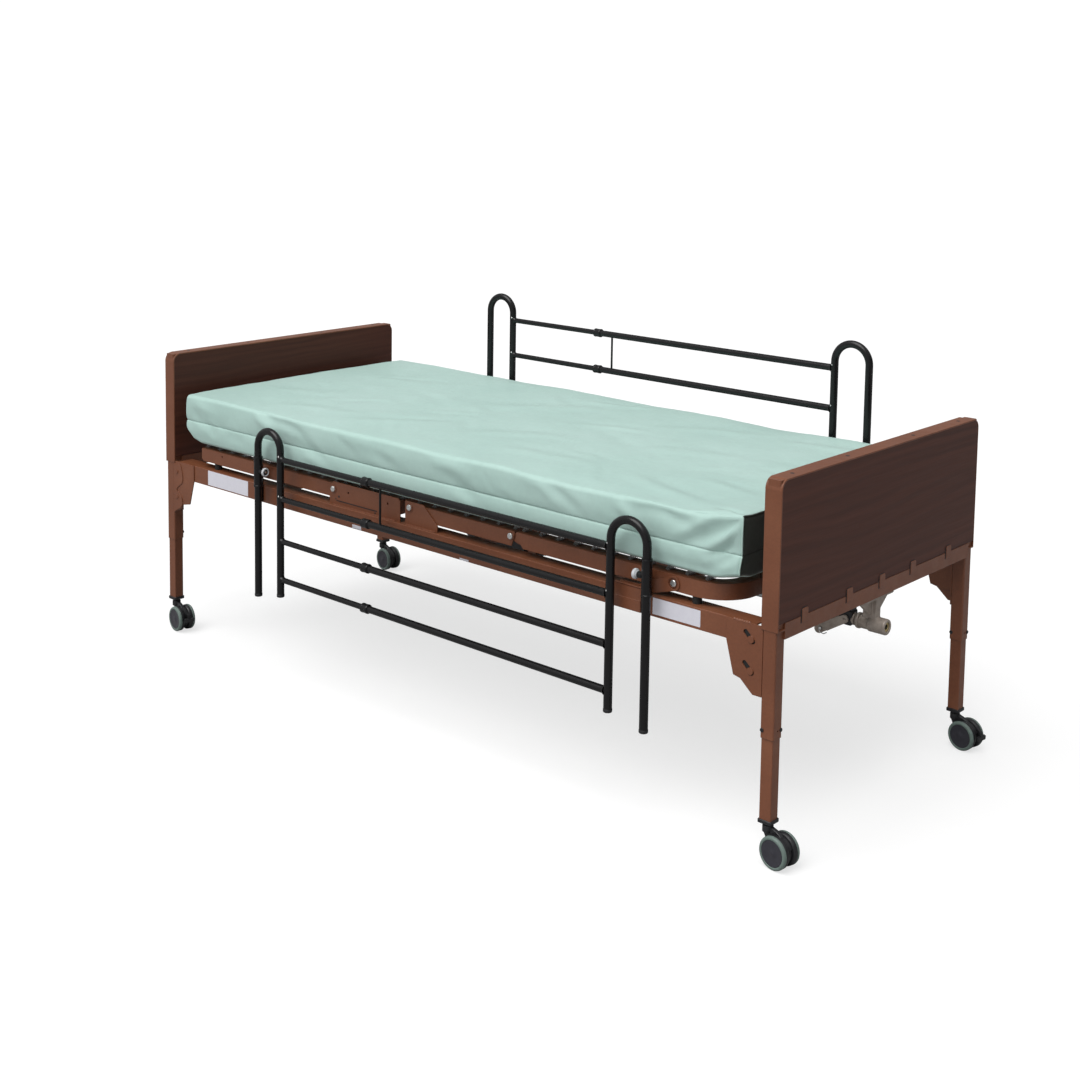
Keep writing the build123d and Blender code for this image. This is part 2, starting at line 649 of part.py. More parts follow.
def make_actuator(name, base, tip, tube_end, rod_start, slot_h, slot_w):
    """Motor and push rod between base (x, y) and the lever pin tip (x, z)."""
    base_x, y = base
    tip_x, tip_z = tip
    run, rise = tip_x - base_x, tip_z - MOTOR_Z
    angle = atan2(rise, run)
    axis_plane = Plane(origin=(BED_X + base_x, y, MOTOR_Z), x_dir=(0, 1, 0),
                       z_dir=(cos(angle), 0, sin(angle)))
    with BuildPart() as motor:
        # base eye, neck, gear case and guide tube
        with BuildSketch(side(y + 12, base_x, MOTOR_Z)):
            Circle(16)
        extrude(amount=24)
        with BuildSketch(axis_plane.offset(8)):
            Rectangle(30, 26)
        extrude(amount=18)
        with BuildSketch(axis_plane.offset(BODY_START)):
            RectangleRounded(62, 58, 12)
        extrude(amount=BODY_L)
        with BuildSketch(axis_plane.offset(TUBE_START)):
            Circle(21)
        extrude(amount=tube_end - TUBE_START)
        # pin hole and rod bore
        with BuildSketch(side(y + 14, base_x, MOTOR_Z)):
            Circle(PIN_HOLE_R)
        extrude(amount=28, mode=Mode.SUBTRACT)
        with BuildSketch(axis_plane.offset(60)):
            Circle(ROD_R + FIT)
        extrude(amount=tube_end - 50, mode=Mode.SUBTRACT)
    save(motor, f"{name}_motor")

    with BuildPart() as rod:
        with BuildSketch(axis_plane.offset(rod_start)):
            Circle(ROD_R)
        extrude(amount=hypot(run, rise) - rod_start - 12)
        # slotted end plate round the lever pin
        with BuildSketch(side(y + 4, tip_x, tip_z)):
            Rectangle(32, slot_h + 14)
            Rectangle(slot_w, slot_h, mode=Mode.SUBTRACT)
        extrude(amount=8)
    save(rod, f"{name}_push_rod")


make_actuator("head", HEAD_MOTOR, HEAD_LEVER_PIN, tube_end=250.0, rod_start=90.0,
              slot_h=56.0, slot_w=20.0)
make_actuator("knee", KNEE_MOTOR, THIGH_LEVER_PIN, tube_end=330.0, rod_start=130.0,
              slot_h=24.0, slot_w=15.0)

# ---------------------------------------------------------------- hi-lo drive
# lengthwise cylinders of the gearbox: start x from LEG_X, radius, length
TUBE_R = 19.5
TUBE_END = 40               # outboard end from LEG_X
GEAR_TUBES = ((-31, 17, 26), (-6, TUBE_R, TUBE_END + 6))
GEAR_COLLARS = ((-86, 15, 42), (-46, 11, 18))
NECK_TOP = END_RAIL_BOT - 8
TRUNNION_HALF = 21

with BuildPart() as gearbox_housings:
    # cast T under each bottom rail: flange, neck and a lengthwise tube
    with BuildSketch(top(END_RAIL_BOT)):
        with Locations((LEG_X, GEAR_Y)):
            SlotOverall(160, 30, rotation=90)
    extrude(amount=-9)
    with BuildSketch(side(GEAR_Y + 11)):
        with BuildLine():
            Polyline((LEG_X - 22, NECK_TOP), (LEG_X + 15, NECK_TOP), (LEG_X + 14, 452),
                     (LEG_X - 22, 452), close=True)
        make_face()
    extrude(amount=22)
    with BuildSketch(end(LEG_X - 4)):
        with BuildLine():
            Polyline((GEAR_Y - 70, NECK_TOP), (GEAR_Y + 70, NECK_TOP), (GEAR_Y + 20, 462),
                     (GEAR_Y - 20, 462), close=True)
        make_face()
    extrude(amount=8)
    for start, radius, length in GEAR_TUBES:
        with BuildSketch(end(LEG_X + start)):
            with Locations((GEAR_Y, GEAR_Z)):
                Circle(radius)
        extrude(amount=length)
    fillet(gearbox_housings.edges().filter_by(GeomType.CIRCLE).filter_by(
        lambda e: abs(e.radius - TUBE_R) < 0.1
        and abs(e.center().X - BED_X - LEG_X - TUBE_END) < 0.1), 3)
    # bores for the crank socket and the riser shaft
    with BuildSketch(end(LEG_X - 14)):
        with Locations((GEAR_Y, GEAR_Z)):
            Circle(SOCKET_R + FIT)
    extrude(amount=60, mode=Mode.SUBTRACT)
    with BuildSketch(top(GEAR_Z)):
        with Locations((LEG_X, GEAR_Y)):
            Circle(SCREW_R + FIT)
    extrude(amount=80, mode=Mode.SUBTRACT)
    # inboard collar carrying the trunnions of the coupling lever
    for start, radius, length in GEAR_COLLARS:
        with BuildSketch(end(LEG_X + start)):
            with Locations((GEAR_Y, GEAR_Z)):
                Circle(radius)
        extrude(amount=length)
    with BuildSketch(side(GEAR_Y + TRUNNION_HALF)):
        with Locations((TRUNNION_X, GEAR_Z)):
            Circle(TRUNNION_R)
    extrude(amount=2 * TRUNNION_HALF)
    with BuildSketch(end(LEG_X - 90)):
        with Locations((GEAR_Y, GEAR_Z)):
            Circle(DRIVE_R + FIT)
    extrude(amount=90, mode=Mode.SUBTRACT)
    mirror(about=ENDS)
save(gearbox_housings, "gearbox_housings")

SOCKET_IN, SOCKET_OUT = -12, 36        # ends of a crank socket from LEG_X
HEX_FLATS = 12.7

with BuildPart() as drive_shaft:
    with BuildSketch(end(-LEG_X - 10)):
        with Locations((GEAR_Y, GEAR_Z)):
            Circle(DRIVE_R)
    extrude(amount=2 * LEG_X)
    # hexagonal crank sockets at both ends
    for sign in (1, -1):
        with BuildSketch(end(sign * (LEG_X + SOCKET_IN))):
            with Locations((GEAR_Y, GEAR_Z)):
                Circle(SOCKET_R)
        extrude(amount=sign * (SOCKET_OUT - SOCKET_IN))
    for sign in (1, -1):
        with BuildSketch(end(sign * (LEG_X + SOCKET_OUT))):
            with Locations((GEAR_Y, GEAR_Z)):
                RegularPolygon(HEX_FLATS / 2, 6, major_radius=False)
        extrude(amount=-sign * 24, mode=Mode.SUBTRACT)
save(drive_shaft, "drive_shaft")

FORK_HALF = 20.5            # half width over the fork
FORK_T = 4.5
FORK_SLOPE = radians(30)

with BuildPart() as coupling_lever:
    # forked release lever hanging inboard of the foot gearbox
    fork_plane = Plane(origin=(BED_X + TRUNNION_X, GEAR_Y + FORK_HALF, GEAR_Z),
                       x_dir=(-cos(FORK_SLOPE), 0, -sin(FORK_SLOPE)), z_dir=(0, -1, 0))
    with BuildSketch(fork_plane, fork_plane.offset(2 * FORK_HALF - FORK_T)):
        with BuildLine():
            Polyline((0, -10), (60, -12), (60, 12), (0, 10), close=True)
        make_face()
        Circle(10)
        Circle(TRUNNION_R + FIT, mode=Mode.SUBTRACT)
    extrude(amount=FORK_T)
    with BuildSketch(fork_plane):
        with Locations((72, 0)):
            SlotOverall(40, 22)
        with Locations((74, 0)):
            Circle(4.5, mode=Mode.SUBTRACT)
    extrude(amount=2 * FORK_HALF)
save(coupling_lever, "coupling_lever")

RISER_BOT, RISER_TOP = 455, 684
SHAFT_HALF = 432            # half length of a cross shaft
COLLAR_T = 5

for end_name, sign in END_SIGNS:
    with BuildPart() as riser_shaft:
        for z, radius, length in ((RISER_BOT, SCREW_R, RISER_TOP - RISER_BOT),
                                  (RISER_TOP, 9, 7)):
            with BuildSketch(top(z)):
                with Locations((sign * LEG_X, GEAR_Y)):
                    Circle(radius)
            extrude(amount=length)
    save(riser_shaft, f"{end_name}_riser_shaft")

    with BuildPart() as cross_shaft:
        with BuildSketch(side(SHAFT_HALF)):
            with Locations((sign * LEG_X, CROSS_SHAFT_Z)):
                Circle(CROSS_SHAFT_R)
        extrude(amount=2 * SHAFT_HALF)
        with BuildSketch(side(SHAFT_HALF), side(-(SHAFT_HALF - COLLAR_T))):
            with Locations((sign * LEG_X, CROSS_SHAFT_Z)):
                Circle(8)
        extrude(amount=COLLAR_T)
    save(cross_shaft, f"{end_name}_cross_shaft")

# ---------------------------------------------------------------- four leg corners
# corner name, sign of x, sign of y, whether its caster has a brake pedal
CORNERS = (("foot_near", 1, -1, False), ("foot_far", 1, 1, True),
           ("head_near", -1, -1, True), ("head_far", -1, 1, False))
PLUG_LIP = 8                # height of the end plug's lip
NUT_T = 12
LEG_SCREW_BOT, LEG_SCREW_TOP = 310, 682
WEB_T = 10                  # caster web between the wheels
WHEEL_IN, WHEEL_OUT = 6, 27            # wheel faces from the web's middle plane

# caster outlines from the axle: (along the trail, downward)
YOKE_WEB = ((-47, -52), (-22, -52), (2, -40), (26, -22), (30, 0), (16, 18),
            (-10, 20), (-26, 4), (-47, -32))
BRAKE_ARM = ((32, -22), (36, -28), (46, -20), (50, -6), (47, 2), (43, 0), (44, -8), (40, -16))
BRAKE_TREAD = ((44, -10), (50, -8), (49, 2), (44, 2))


def make_inner_leg(corner, x, y):
    lip_top = INNER_LEG_BOT + PLUG_LIP
    with BuildPart() as leg:
        with BuildSketch(top(lip_top)):
            with Locations((x, y)):
                RectangleRounded(INNER_LEG, INNER_LEG, 2.5)
                Rectangle(INNER_LEG - 4, INNER_LEG - 4, mode=Mode.SUBTRACT)
        extrude(amount=INNER_LEG_TOP - lip_top)
        # nut plate at the top
        with BuildSketch(top(INNER_LEG_TOP - NUT_T)):
            with Locations((x, y)):
                Rectangle(INNER_LEG - 3, INNER_LEG - 3)
                Circle(SCREW_R + FIT, mode=Mode.SUBTRACT)
        extrude(amount=NUT_T)
        # square end plug with a lip and the caster socket
        with BuildSketch(top(INNER_LEG_BOT)):
            with Locations((x, y)):
                RectangleRounded(INNER_LEG + 4, INNER_LEG + 4, 3)
                Circle(STEM_R + FIT, mode=Mode.SUBTRACT)
        extrude(amount=PLUG_LIP)
        chamfer(leg.faces().sort_by(Axis.Z)[0].outer_wire().edges(), 2.5)
        with BuildSketch(top(lip_top)):
            with Locations((x, y)):
                Rectangle(INNER_LEG - 3, INNER_LEG - 3)
                Circle(STEM_R + FIT, mode=Mode.SUBTRACT)
        extrude(amount=30)
    save(leg, f"inner_leg_{corner}")


def make_leg_screw(corner, x, y):
    with BuildPart() as screw:
        for z, radius, length in ((LEG_SCREW_BOT, SCREW_R, LEG_SCREW_TOP - LEG_SCREW_BOT),
                                  (LEG_SCREW_TOP, 9, 8)):
            with BuildSketch(top(z)):
                with Locations((x, y)):
                    Circle(radius)
            extrude(amount=length)
    save(screw, f"leg_screw_{corner}")


def make_caster_yoke(corner, x, y, axle_plane):
    with BuildPart() as yoke:
        # collar, stem pin and the web between the wheels
        for z, radius, length in ((70, 12.5, INNER_LEG_BOT - 71), (80, STEM_R, 38)):
            with BuildSketch(top(z)):
                with Locations((x, y)):
                    Circle(radius)
            extrude(amount=length)
        with BuildSketch(axle_plane.offset(-WEB_T / 2)):
            with BuildLine():
                Polyline(*YOKE_WEB, close=True)
            make_face()
            Circle(AXLE_R + FIT, mode=Mode.SUBTRACT)
        extrude(amount=WEB_T)
    save(yoke, f"caster_yoke_{corner}")


def make_caster_wheels(corner, axle_plane):
    with BuildPart() as wheels:
        # one disc either side of the web, joined by the axle
        for start in (WHEEL_IN, -WHEEL_OUT):
            with BuildSketch(axle_plane.offset(start)):
                Circle(CASTER_R)
            extrude(amount=WHEEL_OUT - WHEEL_IN)
        chamfer(wheels.edges().filter_by(GeomType.CIRCLE), 3)
        with BuildSketch(axle_plane.offset(-10)):
            Circle(AXLE_R)
        extrude(amount=20)
    save(wheels, f"caster_wheels_{corner}")


def make_brake_lever(corner, axle_plane):
    with BuildPart() as lever:
        for outline, width in ((BRAKE_ARM, 10), (BRAKE_TREAD, 32)):
            with BuildSketch(axle_plane.offset(-width / 2)):
                with BuildLine():
                    Polyline(*outline, close=True)
                make_face()
            extrude(amount=width)
    save(lever, f"brake_lever_{corner}")


for corner, x_sign, y_sign, braked in CORNERS:
    leg_x, leg_y = x_sign * LEG_X, y_sign * LEG_Y
    # wheel plane through the axle: local x along the trail, local y downward
    axle_plane = Plane(
        origin=(BED_X + leg_x + TRAIL * TURN_COS, leg_y + TRAIL * TURN_SIN, CASTER_R),
        x_dir=(TURN_COS, TURN_SIN, 0), z_dir=(-TURN_SIN, TURN_COS, 0))
    make_inner_leg(corner, leg_x, leg_y)
    make_leg_screw(corner, leg_x, leg_y)
    make_caster_yoke(corner, leg_x, leg_y, axle_plane)
    make_caster_wheels(corner, axle_plane)
    if braked:
        make_brake_lever(corner, axle_plane)

# ---------------------------------------------------------------- side guard rails
# side name, sign of y, crown height; the near guard is lowered
GUARD_SIDES = (("near", -1, 720.0), ("far", 1, 1020.0))
FOOT_BAR_R, HEAD_BAR_R = 9.5, 7.9
FOOT_BAR_X = -170           # head end of the foot half's bars
HEAD_BAR_X = -110           # foot end of the head half's bars
ROD_GAP = 8.6               # thin rod's ends from the bar centres


def make_guard(name, y, crown, outer_x, inner_x, is_foot):
    arc_top = crown - GUARD_R
    arc_r = abs(outer_x - inner_x) / 2
    with BuildPart() as guard:
        # bent U leg
        with BuildLine(side(y)) as u_path:
            Line((outer_x, crown - 502), (outer_x, arc_top - arc_r))
            ThreePointArc((outer_x, arc_top - arc_r), ((outer_x + inner_x) / 2, arc_top),
                          (inner_x, arc_top - arc_r))
            Line((inner_x, arc_top - arc_r), (inner_x, crown - 482))
        with BuildSketch(Plane(origin=u_path.line @ 0, z_dir=(0, 0, 1))):
            Circle(GUARD_R)
        sweep()
        # four lengthwise bars; the foot half carries the larger sockets and collars
        for drop in BAR_DROPS:
            z = crown - drop
            if is_foot:
                with BuildSketch(Plane(origin=(BED_X + FOOT_BAR_X, y, z), z_dir=(1, 0, 0))):
                    Circle(FOOT_BAR_R)
                extrude(amount=inner_x - FOOT_BAR_X - 2)
                with BuildSketch(Plane(origin=(BED_X + FOOT_BAR_X - 12, y, z),
                                       z_dir=(1, 0, 0))):
                    Circle(12.5)
                extrude(amount=24)
            else:
                with BuildSketch(Plane(origin=(BED_X + inner_x + 2, y, z), z_dir=(1, 0, 0))):
                    Circle(HEAD_BAR_R)
                extrude(amount=HEAD_BAR_X - inner_x - 2)
        if is_foot:
            # sockets for the head half's bars
            for drop in BAR_DROPS:
                with BuildSketch(Plane(origin=(BED_X + FOOT_BAR_X - 20, y, crown - drop),
                                       z_dir=(1, 0, 0))):
                    Circle(HEAD_BAR_R + 0.2)
                extrude(amount=110, mode=Mode.SUBTRACT)
            # thin vertical rod between the two upper bars
            with BuildSketch(Plane(origin=(BED_X - 115, y, crown - BAR_DROPS[1] + ROD_GAP),
                                   z_dir=(0, 0, 1))):
                Circle(3.2)
            extrude(amount=BAR_DROPS[1] - BAR_DROPS[0] - 2 * ROD_GAP)
    save(guard, name)


for side_name, y_sign, crown in GUARD_SIDES:
    y = y_sign * GUARD_Y
    make_guard(f"guard_{side_name}_foot", y, crown, FOOT_OUTER_X, FOOT_INNER_X, True)
    make_guard(f"guard_{side_name}_head", y, crown, HEAD_OUTER_X, HEAD_INNER_X, False)

# outer guard legs: half name, x, direction along X toward the inner leg
GUARD_LEGS = (("foot", FOOT_OUTER_X, -1), ("head", HEAD_OUTER_X, 1))

with BuildPart() as guard_sleeves:
    # sleeve round each outer leg with a foot plate on the lower side angle
    for _, x, inward in GUARD_LEGS:
        with BuildSketch(top(541)):
            with Locations((x, -GUARD_Y)):
                Circle(12.4)
        extrude(amount=88)
        with BuildSketch(top(489)):
            with Locations((x - 26, -RAIL_FACE - 4)):
                Rectangle(18, 8)
        extrude(amount=109)
        # slanted web from the foot plate to the sleeve
        with BuildSketch(top(575)):
            with BuildLine():
                Polyline((x - 35, -RAIL_FACE), (x - 17, -RAIL_FACE), (x + 8, -GUARD_Y + 4),
                         (x - 10, -GUARD_Y - 4), close=True)
            make_face()
        extrude(amount=23)
        with BuildSketch(top(540)):
            with Locations((x, -GUARD_Y)):
                Circle(GUARD_R + 0.1)
        extrude(amount=90, mode=Mode.SUBTRACT)
        # plunger barrel on the side facing the inner leg
        with BuildSketch(end(x + inward * 11.2)):
            with Locations((-GUARD_Y, KNOB_Z)):
                Circle(8)
        extrude(amount=inward * 13.3)
        with BuildSketch(end(x + inward * 10.5)):
            with Locations((-GUARD_Y, KNOB_Z)):
                Circle(KNOB_PIN_R + FIT)
        extrude(amount=inward * 15, mode=Mode.SUBTRACT)
    mirror(about=ACROSS)
save(guard_sleeves, "guard_sleeves")

KNOB_R = 12

for half_name, x, inward in GUARD_LEGS:
    for side_name, y_sign, _ in GUARD_SIDES:
        with BuildPart() as release_knob:
            # plunger pin, then the knob; each is start from the leg, radius, length
            for start, radius, length in ((11, KNOB_PIN_R, 15), (25.5, KNOB_R, 11)):
                with BuildSketch(end(x + inward * start)):
                    with Locations((y_sign * GUARD_Y, KNOB_Z)):
                        Circle(radius)
                extrude(amount=inward * length)
            chamfer(release_knob.edges().filter_by(GeomType.CIRCLE).filter_by(
                lambda e: abs(e.radius - KNOB_R) < 0.1), 1.5)
        save(release_knob, f"release_knob_{half_name}_{side_name}")
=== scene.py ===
import json
import math
import random

import bpy
import numpy as np
from mathutils import Matrix, Vector, noise


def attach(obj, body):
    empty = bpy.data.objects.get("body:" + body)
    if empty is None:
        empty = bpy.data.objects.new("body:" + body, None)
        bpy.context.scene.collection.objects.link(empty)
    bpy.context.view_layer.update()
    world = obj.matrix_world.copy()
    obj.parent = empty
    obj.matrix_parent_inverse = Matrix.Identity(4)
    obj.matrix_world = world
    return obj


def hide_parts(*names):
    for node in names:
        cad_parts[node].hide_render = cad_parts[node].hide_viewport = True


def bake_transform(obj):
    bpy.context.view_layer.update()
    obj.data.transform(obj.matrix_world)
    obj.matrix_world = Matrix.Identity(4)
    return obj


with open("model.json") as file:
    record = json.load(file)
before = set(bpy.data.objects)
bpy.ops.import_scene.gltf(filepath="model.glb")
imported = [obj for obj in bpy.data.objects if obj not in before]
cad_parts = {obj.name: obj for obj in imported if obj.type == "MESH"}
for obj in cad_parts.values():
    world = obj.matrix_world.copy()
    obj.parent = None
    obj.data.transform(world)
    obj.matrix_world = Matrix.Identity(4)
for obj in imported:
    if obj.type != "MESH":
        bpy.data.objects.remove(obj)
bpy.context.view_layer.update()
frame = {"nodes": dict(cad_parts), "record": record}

XC = -23.2            # the bed's own centre plane in the row frame, mm
END_C, LEG_Y = 1095.7, 438.5
NODES = frame["nodes"]
rad = math.radians


# ------------------------------------------------------------------ mesh helpers, in bed millimetres
def to_m(p):
    return ((p[0] + XC) / 1000.0, p[1] / 1000.0, p[2] / 1000.0)


def frame_of(axis, hint=None):
    a = Vector(axis).normalized()
    h = Vector(hint) if hint is not None else (Vector((0, 0, 1)) if abs(a.z) < 0.9 else Vector((1, 0, 0)))
    u = (h - a * h.dot(a)).normalized()
    v = a.cross(u)
    return a, u, v


class Build:
    """Collects primitives as one mesh; m is the material's number in the list given to obj()."""

    def __init__(self):
        self.v, self.f, self.m = [], [], []

    def add(self, verts, faces, m=0):
        o = len(self.v)
        self.v += [tuple(p) for p in verts]
        self.f += [tuple(i + o for i in f) for f in faces]
        self.m += [m] * len(faces)

    def lathe(self, prof, origin, axis, seg=48, m=0, marks=None, hint=None):
        """prof: (radius, height) pairs along axis. Ends at radius 0 close themselves, others stay as rings joined by the caller."""
        a, u, v = frame_of(axis, hint)
        o = Vector(origin)
        base = len(self.v)
        rings = []
        for r, h in prof:
            if r < 1e-6:
                rings.append([len(self.v)])
                self.v.append(tuple(o + a * h))
            else:
                ring = []
                for i in range(seg):
                    t = 2 * math.pi * i / seg
                    ring.append(len(self.v))
                    self.v.append(tuple(o + a * h + (u * math.cos(t) + v * math.sin(t)) * r))
                rings.append(ring)
        for k in range(len(rings) - 1):
            A, B = rings[k], rings[k + 1]
            mm = marks[k] if marks else m
            for i in range(seg):
                j = (i + 1) % seg
                if len(A) == 1 and len(B) == 1:
                    continue
                if len(A) == 1:
                    f = (A[0], B[j], B[i])
                elif len(B) == 1:
                    f = (A[i], A[j], B[0])
                else:
                    f = (A[i], A[j], B[j], B[i])
                self.f.append(f)
                self.m.append(mm)
        return base

    def cyl(self, a, b, r, seg=32, m=0, ch=0.0):
        a, b = Vector(a), Vector(b)
        L = (b - a).length
        prof = [(0, 0), (r - ch, 0)] + ([(r, ch)] if ch else []) + ([(r, L - ch)] if ch else []) + [(r - ch, L), (0, L)]
        self.lathe(prof, a, b - a, seg, m)

    def tube(self, path, r, seg=10, m=0, closed=False):
        """Round bar along a polyline."""
        pts = [Vector(p) for p in path]
        n = len(pts)
        tang = []
        for i in range(n):
            if closed:
                d = pts[(i + 1) % n] - pts[i - 1]
            else:
                d = pts[min(i + 1, n - 1)] - pts[max(i - 1, 0)]
            tang.append(d.normalized())
        a, u, v = frame_of(tang[0])
        rings = []
        for i in range(n):
            if i:
                q = tang[i - 1].rotation_difference(tang[i])
                u = q @ u
                u = (u - tang[i] * u.dot(tang[i])).normalized()
            v = tang[i].cross(u)
            ring = []
            for k in range(seg):
                t = 2 * math.pi * k / seg
                ring.append(len(self.v))
                self.v.append(tuple(pts[i] + (u * math.cos(t) + v * math.sin(t)) * r))
            rings.append(ring)
        pairs = list(zip(rings[:-1], rings[1:])) + ([(rings[-1], rings[0])] if closed else [])
        for A, B in pairs:
            for k in range(seg):
                j = (k + 1) % seg
                self.f.append((A[k], A[j], B[j], B[k]))
                self.m.append(m)
        if not closed:
            self.f.append(tuple(reversed(rings[0])))
            self.f.append(tuple(rings[-1]))
            self.m += [m, m]

    def prism(self, poly, origin, xd, yd, t, m=0, ch=0.0):
        """Flat polygon (x, y) at origin, thickness t along xd x yd, with chamfered rims when ch is given."""
        o, xd, yd = Vector(origin), Vector(xd).normalized(), Vector(yd).normalized()
        zd = xd.cross(yd)
        area = sum(poly[i][0] * poly[(i + 1) % len(poly)][1] - poly[(i + 1) % len(poly)][0] * poly[i][1] for i in range(len(poly)))
        if area < 0:
            poly = list(reversed(poly))
        n = len(poly)

        def inset(d):
            out = []
            for i in range(n):
                p0, p1, p2 = Vector(poly[i - 1]), Vector(poly[i]), Vector(poly[(i + 1) % n])
                e1, e2 = (p1 - p0).normalized(), (p2 - p1).normalized()
                n1, n2 = Vector((-e1.y, e1.x)), Vector((-e2.y, e2.x))
                b = n1 + n2
                b = b / max(b.length_squared, 0.3) * 2 if b.length > 1e-6 else n1
                out.append(p1 + b * d)
            return out

        layers = [(inset(ch), 0), (poly, ch), (poly, t - ch), (inset(ch), t)] if ch else [(poly, 0), (poly, t)]
        rings = []
        for pp, h in layers:
            ring = []
            for p in pp:
                ring.append(len(self.v))
                self.v.append(tuple(o + xd * p[0] + yd * p[1] + zd * h))
            rings.append(ring)
        for A, B in zip(rings[:-1], rings[1:]):
            for i in range(n):
                j = (i + 1) % n
                self.f.append((A[i], A[j], B[j], B[i]))
                self.m.append(m)
        self.f.append(tuple(reversed(rings[0])))
        self.f.append(tuple(rings[-1]))
        self.m += [m, m]

    def block(self, lo, hi, m=0, ch=0.0, axis="y"):
        """Chamfered box; its chamfers run round the two faces across the given axis."""
        lo, hi = Vector(lo), Vector(hi)
        if axis == "y":
            self.prism([(lo.x, lo.z), (hi.x, lo.z), (hi.x, hi.z), (lo.x, hi.z)], (0, hi.y, 0), (1, 0, 0), (0, 0, 1), hi.y - lo.y, m, ch)
        elif axis == "x":
            self.prism([(lo.y, lo.z), (hi.y, lo.z), (hi.y, hi.z), (lo.y, hi.z)], (lo.x, 0, 0), (0, 1, 0), (0, 0, 1), hi.x - lo.x, m, ch)
        else:
            self.prism([(lo.x, lo.y), (hi.x, lo.y), (hi.x, hi.y), (lo.x, hi.y)], (0, 0, lo.z), (1, 0, 0), (0, 1, 0), hi.z - lo.z, m, ch)

    def obj(self, name, mats, body, replaces=(), sharp=38, convert=True):
        me = bpy.data.meshes.new(name)
        me.from_pydata([to_m(p) for p in self.v] if convert else self.v, [], self.f)
        for mt in mats:
            me.materials.append(mt)
        me.polygons.foreach_set("material_index", self.m)
        me.polygons.foreach_set("use_smooth", [True] * len(self.f))
        me.validate()
        me.update()
        if sharp:
            me.set_sharp_from_angle(angle=rad(sharp))
        o = bpy.data.objects.new(name, me)
        bpy.context.scene.collection.objects.link(o)
        if body:
            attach(o, body)
        if replaces:
            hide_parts(*replaces)
        return o


def arc(cx, cy, r, a0, a1, n):
    return [(cx + r * math.cos(rad(a0 + (a1 - a0) * i / n)), cy + r * math.sin(rad(a0 + (a1 - a0) * i / n))) for i in range(n + 1)]


# ------------------------------------------------------------------ materials
def srgb(r, g, b):
    def f(c):
        c /= 255.0
        return c / 12.92 if c <= 0.04045 else ((c + 0.055) / 1.055) ** 2.4
    return (f(r), f(g), f(b), 1.0)


